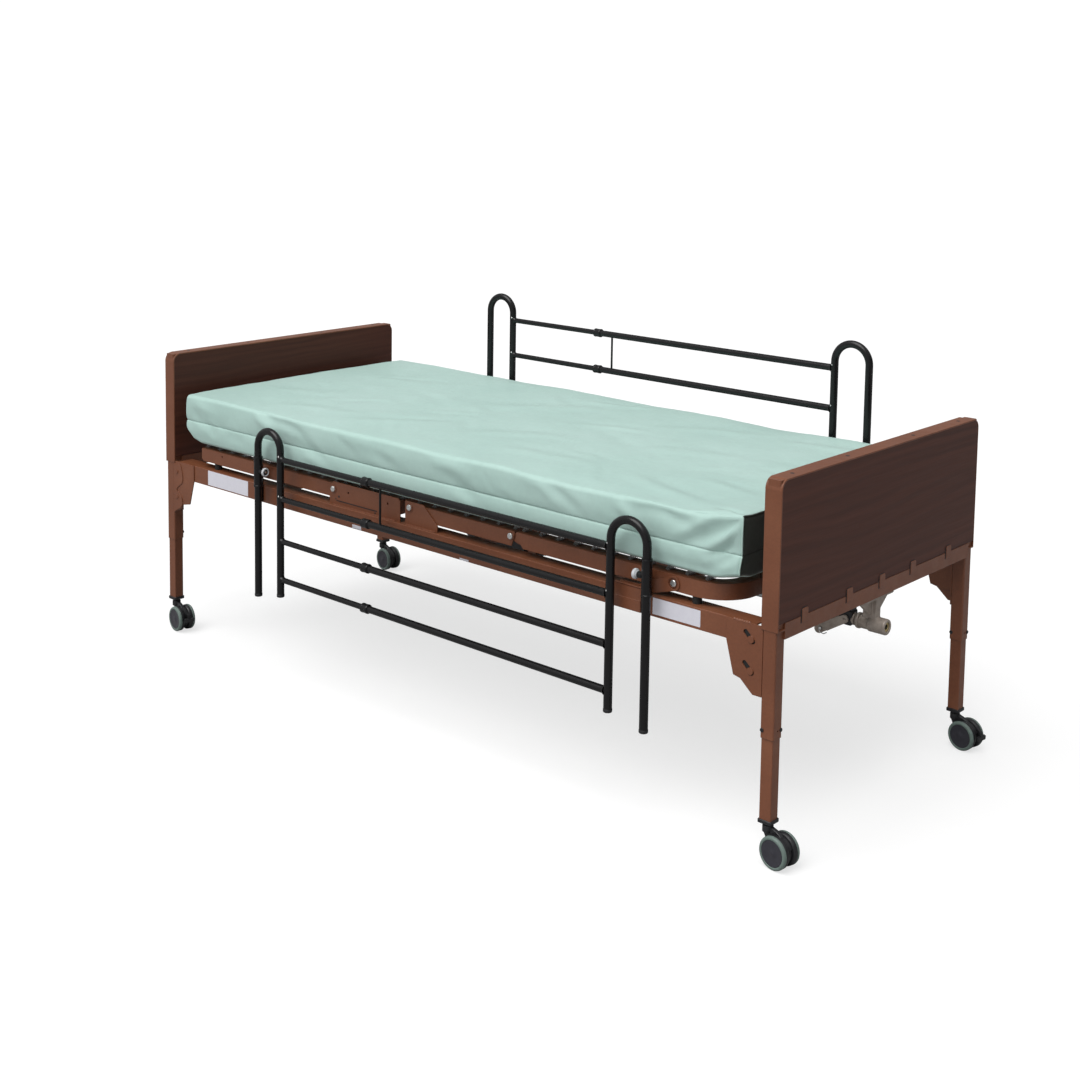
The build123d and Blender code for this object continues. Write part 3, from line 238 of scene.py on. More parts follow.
class Mat:
    def __init__(self, name):
        self.mat = bpy.data.materials.new(name)
        self.mat.use_nodes = True
        self.t = self.mat.node_tree
        self.t.nodes.clear()
        self.out = self.n("ShaderNodeOutputMaterial")
        self.b = self.n("ShaderNodeBsdfPrincipled")
        self.link(self.b.outputs[0], self.out.inputs[0])
        self.tc = self.n("ShaderNodeTexCoord")

    def n(self, kind, **k):
        node = self.t.nodes.new(kind)
        for a, v in k.items():
            if hasattr(node, a):
                setattr(node, a, v)
            else:
                node.inputs[a].default_value = v
        return node

    def link(self, a, b):
        self.t.links.new(a, b)

    def coords(self, scale=(1, 1, 1), rot=(0, 0, 0)):
        mp = self.n("ShaderNodeMapping")
        mp.inputs["Scale"].default_value = scale
        mp.inputs["Rotation"].default_value = rot
        self.link(self.tc.outputs["Object"], mp.inputs[0])
        return mp.outputs[0]

    def noise(self, co, scale, detail=3, rough=0.5, dist=0.0):
        nd = self.n("ShaderNodeTexNoise")
        nd.inputs["Scale"].default_value = scale
        nd.inputs["Detail"].default_value = detail
        nd.inputs["Roughness"].default_value = rough
        nd.inputs["Distortion"].default_value = dist
        self.link(co, nd.inputs["Vector"])
        return nd.outputs[0]

    def voronoi(self, co, scale, feature="F1"):
        nd = self.n("ShaderNodeTexVoronoi", feature=feature)
        nd.inputs["Scale"].default_value = scale
        self.link(co, nd.inputs["Vector"])
        return nd.outputs[0]

    def ramp(self, fac, stops):
        nd = self.n("ShaderNodeValToRGB")
        el = nd.color_ramp.elements
        while len(el) < len(stops):
            el.new(0.5)
        for e, (p, c) in zip(el, stops):
            e.position = p
            e.color = c if len(c) == 4 else (*c, 1)
        self.link(fac, nd.inputs[0])
        return nd.outputs[0]

    def rng(self, fac, lo, hi, a=0.0, b=1.0):
        nd = self.n("ShaderNodeMapRange")
        nd.inputs[1].default_value = a
        nd.inputs[2].default_value = b
        nd.inputs[3].default_value = lo
        nd.inputs[4].default_value = hi
        self.link(fac, nd.inputs[0])
        return nd.outputs[0]

    def mix(self, fac, a, b, mode="MIX"):
        nd = self.n("ShaderNodeMix", data_type="RGBA", blend_type=mode)
        for s, i in ((fac, 0), (a, 6), (b, 7)):
            if hasattr(s, "links"):
                self.link(s, nd.inputs[i])
            else:
                nd.inputs[i].default_value = s
        return nd.outputs[2]

    def math(self, op, a, b=0.0):
        nd = self.n("ShaderNodeMath", operation=op)
        for s, i in ((a, 0), (b, 1)):
            if hasattr(s, "links"):
                self.link(s, nd.inputs[i])
            else:
                nd.inputs[i].default_value = s
        return nd.outputs[0]

    def bevel(self, radius, samples=4):
        nd = self.n("ShaderNodeBevel")
        nd.samples = samples
        nd.inputs["Radius"].default_value = radius
        return nd.outputs[0]

    def bumps(self, layers, base=None):
        """layers: (height socket, strength, distance in metres)."""
        prev = base
        for h, s, d in layers:
            nd = self.n("ShaderNodeBump")
            nd.inputs["Strength"].default_value = s
            nd.inputs["Distance"].default_value = d
            self.link(h, nd.inputs["Height"])
            if prev is not None:
                self.link(prev, nd.inputs["Normal"])
            prev = nd.outputs[0]
        self.link(prev, self.b.inputs["Normal"])

    def edge(self, bev):
        """1 along rounded edges, 0 on flats."""
        g = self.n("ShaderNodeNewGeometry")
        dot = self.n("ShaderNodeVectorMath", operation="DOT_PRODUCT")
        self.link(bev, dot.inputs[0])
        self.link(g.outputs["Normal"], dot.inputs[1])
        return self.rng(dot.outputs["Value"], 1.0, 0.0, 0.80, 0.995)

    def set(self, **k):
        for a, v in k.items():
            key = a.replace("_", " ")
            if key not in self.b.inputs:
                continue
            if hasattr(v, "links"):
                self.link(v, self.b.inputs[key])
            else:
                self.b.inputs[key].default_value = v


def mat_paint(name, base, dark, light, rough, bev, wear, coat=0.15, peel=0.12):
    m = Mat(name)
    co = m.coords()
    big = m.noise(co, 6, 4, 0.55)
    fine = m.noise(co, 160, 4, 0.6)
    col = m.ramp(big, [(0.3, dark), (0.55, base), (0.8, light)])
    speck = m.rng(fine, 0.92, 1.06, 0.3, 0.7)
    hsv = m.n("ShaderNodeHueSaturation")
    m.link(speck, hsv.inputs["Value"])
    m.link(col, hsv.inputs["Color"])
    b = m.bevel(bev, 4)
    e = m.edge(b)
    wearm = m.math("MULTIPLY", e, m.rng(m.noise(co, 55, 5, 0.7), 0.0, 1.0, 0.48, 0.72))
    out = m.mix(m.math("MULTIPLY", wearm, wear), hsv.outputs[0], light)
    m.set(Base_Color=out, Metallic=0.0, Coat_Weight=coat, Coat_Roughness=0.18,
          Roughness=m.rng(m.noise(co, 35, 5, 0.6), rough - 0.05, rough + 0.08, 0.3, 0.7))
    m.bumps([(m.noise(co, 420, 2, 0.5), peel, 0.0006), (m.noise(co, 1500, 2, 0.5), peel * 0.5, 0.0002)], b)
    return m.mat


def mat_laminate():
    m = Mat("Dark_Laminate")
    # grain runs across the bed in long, nearly straight lines
    warp = m.noise(m.coords((2.0, 0.9, 2.0)), 1.3, 3, 0.5)
    co = m.coords((6, 0.55, 22))
    vadd = m.n("ShaderNodeVectorMath", operation="MULTIPLY_ADD")
    m.link(warp, vadd.inputs[0])
    vadd.inputs[1].default_value = (0.0, 0.0, 2.4)
    m.link(co, vadd.inputs[2])
    grain = m.noise(vadd.outputs[0], 2.6, 7, 0.6, 0.15)
    cath = m.n("ShaderNodeTexWave", wave_type="BANDS", bands_direction="Z", wave_profile="SIN")
    cath.inputs["Scale"].default_value = 0.55
    cath.inputs["Distortion"].default_value = 3.4
    cath.inputs["Detail"].default_value = 2.0
    cath.inputs["Detail Scale"].default_value = 0.6
    m.link(vadd.outputs[0], cath.inputs["Vector"])
    fine = m.noise(m.coords((150, 3.2, 330)), 3.0, 4, 0.6)
    streak = m.noise(m.coords((60, 1.3, 120)), 2.4, 4, 0.65)
    mixed = m.math("ADD", m.math("MULTIPLY", grain, 0.46), m.math("MULTIPLY", cath.outputs[1], 0.07))
    mixed = m.math("ADD", mixed, m.math("MULTIPLY", streak, 0.22))
    mixed = m.math("ADD", mixed, m.math("MULTIPLY", fine, 0.14))
    col = m.ramp(mixed, [(0.30, srgb(68, 35, 25)), (0.47, srgb(83, 45, 33)), (0.60, srgb(92, 51, 38)), (0.78, srgb(106, 60, 46))])
    pores = m.ramp(m.noise(m.coords((90, 5, 460)), 3.0, 3, 0.7), [(0.60, (1, 1, 1, 1)), (0.72, (0.78, 0.75, 0.74, 1))])
    col = m.mix(0.55, col, m.mix(1.0, col, pores, "MULTIPLY"))
    b = m.bevel(0.0008, 4)
    m.set(Base_Color=col, Roughness=m.rng(fine, 0.42, 0.56, 0.3, 0.7), Coat_Weight=0.0, Specular_IOR_Level=0.3)
    m.bumps([(fine, 0.06, 0.0003), (m.noise(m.coords((90, 5, 460)), 3.0, 3, 0.7), 0.07, 0.0002)], b)
    return m.mat


def mat_vinyl(name, col, lo, hi, rough=0.48):
    m = Mat(name)
    co = m.coords()
    big = m.noise(co, 3.2, 4, 0.55)
    c = m.ramp(big, [(0.25, lo), (0.5, col), (0.78, hi)])
    mott = m.rng(m.noise(co, 60, 5, 0.65), 0.975, 1.025, 0.3, 0.7)
    hsv = m.n("ShaderNodeHueSaturation")
    m.link(mott, hsv.inputs["Value"])
    m.link(c, hsv.inputs["Color"])
    grain = m.voronoi(co, 900, "DISTANCE_TO_EDGE")
    twill = m.noise(m.coords((1, 1, 1), (0.4, 0.2, 0.5)), 1400, 2, 0.5)
    soft = m.noise(m.coords((1.0, 1.4, 1.2)), 14, 4, 0.6, 0.4)
    m.set(Base_Color=hsv.outputs[0], Roughness=m.rng(m.noise(co, 40, 4, 0.6), rough - 0.06, rough + 0.08, 0.3, 0.7),
          Sheen_Weight=0.12, Sheen_Roughness=0.5, Specular_IOR_Level=0.42)
    m.bumps([(soft, 0.16, 0.006), (grain, 0.10, 0.0003), (twill, 0.08, 0.0002)])
    return m.mat


def mat_metal(name, base, rough, bump=0.1, scale=300, stretch=(1, 1, 1), metallic=1.0, bev=0.0005, tint=None):
    m = Mat(name)
    co = m.coords(stretch)
    nz = m.noise(co, scale, 4, 0.6)
    dull = m.noise(m.coords(), 45, 4, 0.6)
    c = m.mix(m.rng(dull, 0.0, 1.0, 0.35, 0.75), base, tint or tuple(x * 0.82 for x in base[:3]) + (1,))
    b = m.bevel(bev, 3)
    m.set(Base_Color=c, Metallic=metallic, Roughness=m.rng(nz, rough - 0.07, rough + 0.12, 0.3, 0.7))
    m.bumps([(nz, bump, 0.0002)], b)
    return m.mat


def mat_cast():
    m = Mat("Cast_Grey")
    co = m.coords()
    big = m.noise(co, 28, 4, 0.6)
    sand = m.noise(co, 620, 5, 0.7)
    pits = m.voronoi(co, 340)
    c = m.ramp(big, [(0.25, srgb(134, 122, 113)), (0.5, srgb(168, 156, 146)), (0.8, srgb(190, 180, 171))])
    c = m.mix(m.rng(sand, 0.0, 0.35, 0.55, 0.75), c, srgb(96, 86, 80))
    m.set(Base_Color=c, Metallic=0.40, Roughness=m.rng(sand, 0.42, 0.62, 0.3, 0.7))
    m.bumps([(sand, 0.22, 0.0006), (pits, 0.10, 0.0006)], m.bevel(0.0015, 4))
    return m.mat


def mat_plastic(name, base, rough, bump=0.12, scale=900, var=None, coat=0.0):
    m = Mat(name)
    co = m.coords()
    nz = m.noise(co, scale, 3, 0.6)
    dust = m.noise(co, 70, 5, 0.65)
    c = m.mix(m.rng(dust, 0.0, 1.0, 0.4, 0.8), base, var or tuple(min(1, x * 1.35 + 0.004) for x in base[:3]) + (1,))
    m.set(Base_Color=c, Roughness=m.rng(dust, rough - 0.05, rough + 0.1, 0.3, 0.7), Coat_Weight=coat, Coat_Roughness=0.2)
    m.bumps([(nz, bump, 0.0002)], m.bevel(0.0005, 3))
    return m.mat


BROWN = mat_paint("Brown_Paint", srgb(123, 73, 48), srgb(115, 67, 43), srgb(134, 83, 56), 0.42, 0.0013, 0.25, coat=0.06)
def mat_gloss_black():
    m = Mat("Black_Gloss_Paint")
    co = m.coords()
    c = m.ramp(m.noise(co, 9, 4, 0.55), [(0.3, srgb(11, 10, 12)), (0.6, srgb(15, 14, 16)), (0.85, srgb(20, 19, 21))])
    m.set(Base_Color=c, Roughness=m.rng(m.noise(co, 40, 4, 0.6), 0.24, 0.34, 0.3, 0.7), Specular_IOR_Level=0.34,
          Coat_Weight=0.08, Coat_Roughness=0.12)
    m.bumps([(m.noise(co, 260, 2, 0.5), 0.035, 0.0006)], m.bevel(0.0004, 3))
    return m.mat


BLACK = mat_gloss_black()
WOOD = mat_laminate()
MINT = mat_vinyl("Mint_Vinyl", srgb(178, 208, 200), srgb(173, 204, 196), srgb(184, 212, 205))
# dark green vinyl for the foot end panel: partly the cover's own dark colour, partly painted shade standing in for the
# narrow gap between mattress end and footboard
DARK_VINYL_AND_GAP_SHADE = mat_vinyl("Dark_Green_Vinyl_And_Painted_Gap_Shade", srgb(50, 58, 52), srgb(40, 48, 43), srgb(66, 75, 68), 0.46)
PIPE = mat_vinyl("Pale_Piping", srgb(186, 214, 205), srgb(178, 208, 198), srgb(196, 222, 214), 0.4)
STEEL = mat_metal("Bright_Zinc", (0.80, 0.80, 0.79, 1), 0.24)
WIRE = mat_metal("Spring_Wire", (0.42, 0.42, 0.43, 1), 0.34, 0.15, 500)
SHAFT = mat_metal("Drawn_Shaft", (0.60, 0.60, 0.60, 1), 0.30, 0.15, 90, (0.2, 8, 8))
BRASS = mat_metal("Brass_Socket", (0.62, 0.50, 0.24, 1), 0.34, 0.12, 400)
CAST = mat_cast()
RUBBER = mat_plastic("Black_Rubber", srgb(28, 28, 28), 0.68, 0.25, 500)
PLAST = mat_plastic("Black_Plastic", srgb(27, 27, 30), 0.42, 0.10, 1200)
HUB = mat_plastic("Caster_Hub", srgb(47, 46, 54), 0.36, 0.10, 900)
TREAD = mat_plastic("Caster_Tread", srgb(108, 124, 118), 0.50, 0.14, 700, srgb(96, 110, 104))
KNOB = mat_plastic("Knob_Light_Grey", srgb(206, 208, 212), 0.34, 0.05, 900, srgb(192, 194, 198), 0.15)
LABEL = mat_plastic("Blank_Label", srgb(226, 225, 234), 0.38, 0.03, 600, srgb(220, 219, 229), 0.1)
MOTOR = mat_plastic("Motor_Housing", srgb(36, 36, 38), 0.45, 0.18, 1100)

SLOT_MAT = {"brown_paint": BROWN, "dark_laminate": WOOD, "black_gloss_paint": BLACK, "bright_steel": STEEL, "spring_steel": WIRE,
            "vinyl_cover": MINT, "black_rubber": RUBBER, "cast_grey": CAST, "black_plastic": PLAST, "caster_rubber": TREAD, "knob_white": KNOB}
special = {"drive_shaft": SHAFT, "foot_riser_shaft": SHAFT, "head_riser_shaft": SHAFT, "foot_cross_shaft": SHAFT, "head_cross_shaft": SHAFT,
           "head_motor": MOTOR, "knee_motor": MOTOR}
for row in frame["record"]["subparts"]:
    o = NODES[row["node"]]
    o.data.materials.clear()
    o.data.materials.append(special.get(row["node"], SLOT_MAT[row["material_slot"]]))

# ------------------------------------------------------------------ cast gear housings: blended, sand-cast corners
rm = NODES["gearbox_housings"].modifiers.new("cast", "REMESH")
rm.mode = "VOXEL"
rm.voxel_size = 0.0012
rm.use_smooth_shade = True
sm = NODES["gearbox_housings"].modifiers.new("soften", "SMOOTH")
sm.factor = 0.5
sm.iterations = 6
bv = NODES["coupling_lever"].modifiers.new("edge", "BEVEL")
bv.width = 0.0008
bv.segments = 2
bv.limit_method = "ANGLE"
bv.angle_limit = math.radians(40)


# ------------------------------------------------------------------ mattress
def smooth(a, b, x):
    t = np.clip((x - a) / (b - a), 0, 1)
    return t * t * (3 - 2 * t)


def lines(lo, hi, step, edge, extra=()):
    """Grid lines from lo to hi: fine near both ends, even between, and exact at the extra places."""
    s = set()
    for e in edge:
        s.add(lo + e)
        s.add(hi - e)
    a, b = lo + edge[-1], hi - edge[-1]
    n = max(1, round((b - a) / step))
    for i in range(n + 1):
        s.add(a + (b - a) * i / n)
    out = sorted(s)
    for x in extra:
        out = [v for v in out if abs(v - x) > 0.45 * step or v in (lo, hi)]
    out = sorted(set(out) | set(extra))
    return out


CUT1, CUT2 = -200.0, 130.0
MX0, MX1, MY, MZ0, MZ1 = -1026.0, 1014.0, 450.0, 601.5, 752.0
SEAM = 672.0


def mattress_grid():
    edge = (0, 1.4, 3.4, 6.0, 9.2, 12.5)
    xs = lines(MX0, MX1, 8.0, edge)
    xs = [x for x in xs if min(abs(x - CUT1), abs(x - CUT2)) > 3.2] + [CUT1, CUT2]
    xs = sorted(xs)
    ys = lines(-MY, MY, 9.0, edge)
    zs = lines(MZ0, MZ1, 8.0, edge)
    zs = sorted([z for z in zs if abs(z - SEAM) > 7.5] + [SEAM + d for d in (-6, -3.2, -1.4, 0, 1.4, 3.2, 6)])
    return xs, ys, zs


def mattress_shape():
    xs, ys, zs = mattress_grid()
    nx, ny, nz = len(xs) - 1, len(ys) - 1, len(zs) - 1
    index, P, faces, tag = {}, [], [], []

    def vid(i, j, k):
        key = (i, j, k)
        if key not in index:
            index[key] = len(P)
            P.append((xs[i], ys[j], zs[k]))
        return index[key]

    def quad(a, b, c, d, t, i):
        faces.append((vid(*a), vid(*b), vid(*c), vid(*d)))
        tag.append((t, i))

    for i in range(nx):
        for j in range(ny):
            quad((i, j, nz), (i + 1, j, nz), (i + 1, j + 1, nz), (i, j + 1, nz), 0, i)
            quad((i, j, 0), (i, j + 1, 0), (i + 1, j + 1, 0), (i + 1, j, 0), 1, i)
        for k in range(nz):
            quad((i, 0, k), (i + 1, 0, k), (i + 1, 0, k + 1), (i, 0, k + 1), 2, i)
            quad((i, ny, k), (i, ny, k + 1), (i + 1, ny, k + 1), (i + 1, ny, k), 3, i)
    for j in range(ny):
        for k in range(nz):
            quad((0, j, k), (0, j, k + 1), (0, j + 1, k + 1), (0, j + 1, k), 4, 0)
            quad((nx, j, k), (nx, j + 1, k), (nx, j + 1, k + 1), (nx, j, k + 1), 5, nx)
    return xs, ys, zs, np.array(P, float), faces, tag, index


def mattress_deform(P):
    """Rounded, crowned and creased cover from the plain block of points."""
    x0, y0, z0 = P[:, 0].copy(), P[:, 1].copy(), P[:, 2].copy()
    r = np.array([11.5, 11.5, 11.5])
    lo = np.array([MX0, -MY, MZ0]) + r
    hi = np.array([MX1, MY, MZ1]) - r
    inner = np.clip(P, lo, hi)
    d = P - inner
    n = np.linalg.norm(d, axis=1)
    nn = np.where(n > 1e-9, n, 1)
    # points on a flat face keep their place; points in the edge zone go to the rounded edge
    out = np.where((n > 1e-9)[:, None], inner + d / nn[:, None] * 11.5, P)
    N = np.where((n > 1e-9)[:, None], d / nn[:, None], 0)
    x, y, z = out[:, 0], out[:, 1], out[:, 2]
    topw = np.clip(N[:, 2], 0, 1)
    nearw = np.clip(-N[:, 1], 0, 1)
    farw = np.clip(N[:, 1], 0, 1)
    endw = np.clip(np.abs(N[:, 0]), 0, 1)
    disp = np.zeros(len(P))
    # loose cover: low rolls, then finer puckers
    seeds = ((0.0031, 0.0044, 2.6, 11.0), (0.0085, 0.0105, 1.3, 37.0), (0.021, 0.026, 0.5, 71.0))
    for fx, fy, amp, off in seeds:
        vals = np.array([noise.noise((x0[i] * fx + off, y0[i] * fy + off * 0.7, z0[i] * fy * 1.3)) for i in range(len(P))])
        disp += vals * amp * (0.55 + 0.45 * topw + 0.35 * nearw)
    # creases: (face, ax, ay, bx, by, width, height); t for top in (x, y), n for near side, f for far side in (x, z)
    rnd = random.Random(7)
    folds = [
        ("t", 560, -250, 900, -420, 26, 3.0), ("t", 700, -180, 985, -300, 22, 2.2), ("t", 380, -60, 760, 60, 34, 1.9),
        ("t", 130, -330, 470, -230, 30, 2.0), ("t", -60, -250, 240, -60, 34, 2.2), ("t", -420, -330, -110, -180, 30, 2.0),
        ("t", -300, 60, 120, 300, 38, 2.2), ("t", -700, -360, -420, -260, 28, 1.8), ("t", 260, 180, 620, 330, 34, 2.2),
        ("t", 620, 260, 980, 380, 30, 2.2), ("t", -850, 100, -480, 260, 40, 1.6), ("t", 820, -100, 1000, -30, 22, 1.8),
        ("t", -900, -250, -640, -60, 36, 1.4), ("t", 60, 20, 340, 150, 28, 1.6),
        ("n", -705, 742, -560, 690, 17, 4.6), ("n", -690, 748, -430, 676, 13, 3.0), ("n", -600, 735, -380, 655, 20, -3.2),
        ("n", -330, 745, -130, 690, 20, 3.6), ("n", -250, 740, -60, 660, 16, -2.8), ("n", 20, 748, 190, 700, 18, 3.0),
        ("n", 60, 700, 250, 640, 20, -2.2), ("n", 330, 745, 520, 690, 20, 3.2), ("n", 430, 735, 590, 660, 16, -2.6),
        ("n", 640, 740, 760, 690, 15, 3.6), ("n", 700, 742, 930, 705, 14, -3.6), ("n", 1000, 758, 800, 690, 14, 5.0),
        ("n", 1008, 748, 860, 676, 12, -4.4), ("n", 1005, 735, 900, 640, 14, 3.8), ("n", 1008, 700, 930, 625, 14, -3.0),
        ("n", 1013, 738, 935, 702, 7, -5.0), ("n", 1013, 722, 945, 664, 7, -3.5), ("t", 1006, -441, 905, -385, 8, -4.5),
        ("t", 1000, -436, 860, -436, 8, 2.5), ("n", 1012, 690, 900, 655, 8, -2.5),
        ("n", 985, 660, 760, 640, 18, 2.0), ("n", -990, 735, -860, 690, 18, 3.0), ("n", -1005, 690, -900, 640, 16, 2.4),
        ("n", -840, 660, -700, 630, 16, -2.0), ("n", -480, 650, -330, 625, 14, 1.8), ("n", 120, 660, 210, 625, 14, 1.8),
    ]
    for k in range(26):
        ax = rnd.uniform(-950, 850)
        ay = rnd.uniform(-380, 380)
        L = rnd.uniform(120, 330)
        an = rad(rnd.choice((-1, 1)) * rnd.uniform(12, 42))
        folds.append(("t", ax, ay, ax + L * math.cos(an), ay + L * math.sin(an), rnd.uniform(14, 30), rnd.uniform(0.6, 1.5) * rnd.choice((-1, 1))))
    for k in range(22):
        ax = rnd.uniform(-980, 900)
        az = rnd.uniform(700, 748)
        L = rnd.uniform(70, 190)
        folds.append(("f", ax, az, ax + L, az - rnd.uniform(30, 90), rnd.uniform(12, 20), rnd.uniform(1.2, 3.2) * rnd.choice((-1, 1))))
    for k in range(16):
        ax = rnd.uniform(-980, 900)
        az = rnd.uniform(630, 748)
        L = rnd.uniform(50, 140)
        folds.append(("n", ax, az, ax + L, az - rnd.uniform(20, 60), rnd.uniform(8, 14), rnd.uniform(0.7, 1.5) * rnd.choice((-1, 1))))
    for face, ax, ay, bx, by, w, h in folds:
        u = x0
        v = y0 if face == "t" else z0
        ex, ey = bx - ax, by - ay
        L = math.hypot(ex, ey)
        s = ((u - ax) * ex + (v - ay) * ey) / (L * L)
        dd = ((u - ax) * -ey + (v - ay) * ex) / L
        bend = 0.05 * L * np.sin(np.clip(s, 0, 1) * math.pi * 1.3 + ax)
        dd = dd + bend
        along = smooth(-0.05, 0.30, s) * (1 - smooth(0.55, 1.05, s))
        prof = np.exp(-(dd / w) ** 2) - 0.55 * np.exp(-((dd - 1.5 * w) / (1.1 * w)) ** 2)
        if face == "t":
            wgt = np.clip(topw * 1.4, 0, 1)
        elif face == "n":
            wgt = np.clip(nearw * 1.5, 0, 1) * smooth(604, 622, z0)
        else:
            wgt = np.clip(farw * 1.5, 0, 1) * smooth(604, 622, z0)
        disp += prof * along * wgt * h * (1.45 if face == "t" else 1.15)
    flat = np.clip(1 - np.clip(-N[:, 2], 0, 1) * 1.0, 0, 1)
    disp *= flat
    out = out + N * disp[:, None]
    x, y, z = out[:, 0].copy(), out[:, 1].copy(), out[:, 2].copy()
    # pulled in at the seam, full between it and the edges
    side = np.clip(np.abs(N[:, 1]) * 1.3, 0, 1)
    groove = np.exp(-((z0 - SEAM) / 1.5) ** 2) * 2.2 + np.exp(-((z0 - SEAM) / 9.0) ** 2) * 1.3
    y -= np.sign(N[:, 1]) * side * groove
    endside = np.clip(np.abs(N[:, 0]) * 1.3, 0, 1)
    x -= np.sign(N[:, 0]) * endside * groove * 0.8
    belly = np.sin(np.clip((z0 - MZ0) / (SEAM - MZ0), 0, 1) * math.pi) * 2.2 + np.sin(np.clip((z0 - SEAM) / (MZ1 - SEAM), 0, 1) * math.pi) * 2.8
    y += np.sign(N[:, 1]) * side * belly
    # near and far top edges rise and fall
    edge = smooth(MY - 75, MY - 8, np.abs(y0)) * smooth(MZ1 - 40, MZ1 - 4, z0)
    wave = np.array([noise.noise((a * 0.0046 + 3.1, 0.2 * (1 if b > 0 else -1), 5.5)) for a, b in zip(x0, y0)]) * 4.0
    z += edge * (wave - 1.5)
    # top crown
    z += topw * 2.5 * (1 - (y0 / MY) ** 2) * np.clip(1 - (x0 / MX1) ** 8, 0, 1)
    # foot end curls up, its lower edge lifts off the deck
    foot = smooth(820, 1015, x0)
    z += foot * 12.0 * smooth(640, 752, z0)
    z += smooth(930, 1015, x0) * 15.0 * (1 - smooth(602, 690, z0))
    x -= smooth(960, 1015, x0) * 6.0 * (1 - smooth(602, 700, z0))
    # pinched ears at the two foot corners
    for sy in (-1, 1):
        dist = np.sqrt((x0 - MX1) ** 2 + (y0 - sy * MY) ** 2 + (0.8 * (z0 - MZ1)) ** 2)
        ear = np.exp(-(dist / 30.0) ** 2)
        z += ear * 7.0
        x += ear * 3.0
        y += sy * ear * 1.5
        near_corner = smooth(880, 1000, x0) * smooth(MY - 60, MY, sy * y0)
        y -= sy * near_corner * 3.5 * np.sin(np.clip((z0 - MZ0) / (MZ1 - MZ0), 0, 1) * math.pi)
    # head end: lower corners drawn in, face leans
    head = smooth(-940, -1017, x0) if False else 1 - smooth(-1026, -946, x0)
    x += head * 30.0 * (1 - smooth(602, 668, z0)) ** 1.5 * smooth(MY - 110, MY - 4, np.abs(y0))
    z += head * 7.0 * (1 - smooth(602, 668, z0)) * smooth(MY - 110, MY - 4, np.abs(y0))
    x += head * 4.0 * smooth(668, 752, z0)
    # long lower edges ride up a little on the border springs
    low = smooth(MY - 60, MY - 6, np.abs(y0)) * (1 - smooth(602, 650, z0))
    z += low * (5.5 + 3.5 * smooth(100, 700, x0))
    y -= np.sign(y0) * low * 2.5
    out = np.stack([x, y, z], 1)
    # stays off the deck, the boards and the guard rails
    out[:, 2] = np.maximum(out[:, 2], 600.5)
    out[:, 1] = np.clip(out[:, 1], -458.5, 458.5)
    out[:, 0] = np.clip(out[:, 0], -1034, 1022)
    return out


def simulate_cover(P, faces):
    """A short cloth run swells the cover over its foam and lets it buckle between the creases. Returns moved points."""
    me = bpy.data.meshes.new("cover_sim")
    me.from_pydata([tuple(p / 1000.0) for p in P], [], faces)
    me.update()
    o = bpy.data.objects.new("cover_sim", me)
    bpy.context.scene.collection.objects.link(o)
    vg = o.vertex_groups.new(name="pin")
    pin = [i for i, p in enumerate(P) if p[2] < 612]
    vg.add(pin, 1.0, "REPLACE")
    cl = o.modifiers.new("cloth", "CLOTH")
    s = cl.settings
    s.quality = 5
    s.mass = 0.3
    s.tension_stiffness = 12
    s.compression_stiffness = 12
    s.shear_stiffness = 4
    s.bending_stiffness = 0.6
    s.shrink_min = -0.012
    s.use_pressure = True
    s.uniform_pressure_force = 2.0
    s.vertex_group_mass = "pin"
    s.effector_weights.gravity = 0
    cl.collision_settings.use_collision = False
    sc = bpy.context.scene
    f0, f1 = sc.frame_start, sc.frame_end
    sc.frame_start, sc.frame_end = 1, 16
    cl.point_cache.frame_start, cl.point_cache.frame_end = 1, 16
    for f in range(1, 15):
        sc.frame_set(f)
    dg = bpy.context.evaluated_depsgraph_get()
    ev = o.evaluated_get(dg)
    Q = np.array([v.co for v in ev.data.vertices], float) * 1000.0
    sc.frame_set(1)
    sc.frame_start, sc.frame_end = f0, f1
    bpy.data.objects.remove(o)
    D = Q - P
    L = np.linalg.norm(D, axis=1)
    cap = 9.0
    D *= (np.minimum(L, cap) / np.maximum(L, 1e-6))[:, None]
    return P + D


xs, ys, zs, P0, mfaces, mtag, mindex = mattress_shape()
P1 = mattress_deform(P0)
USE_SIM = False
if USE_SIM:
    P1 = simulate_cover(P1, mfaces)

i1, i2 = xs.index(CUT1), xs.index(CUT2)
nx, ny, nz = len(xs) - 1, len(ys) - 1, len(zs) - 1


def ring_at(i):
    ring = [(i, j, 0) for j in range(ny)] + [(i, ny, k) for k in range(nz)] + [(i, j, nz) for j in range(ny, 0, -1)] + [(i, 0, k) for k in range(nz, 0, -1)]
    return [mindex[r] for r in ring]


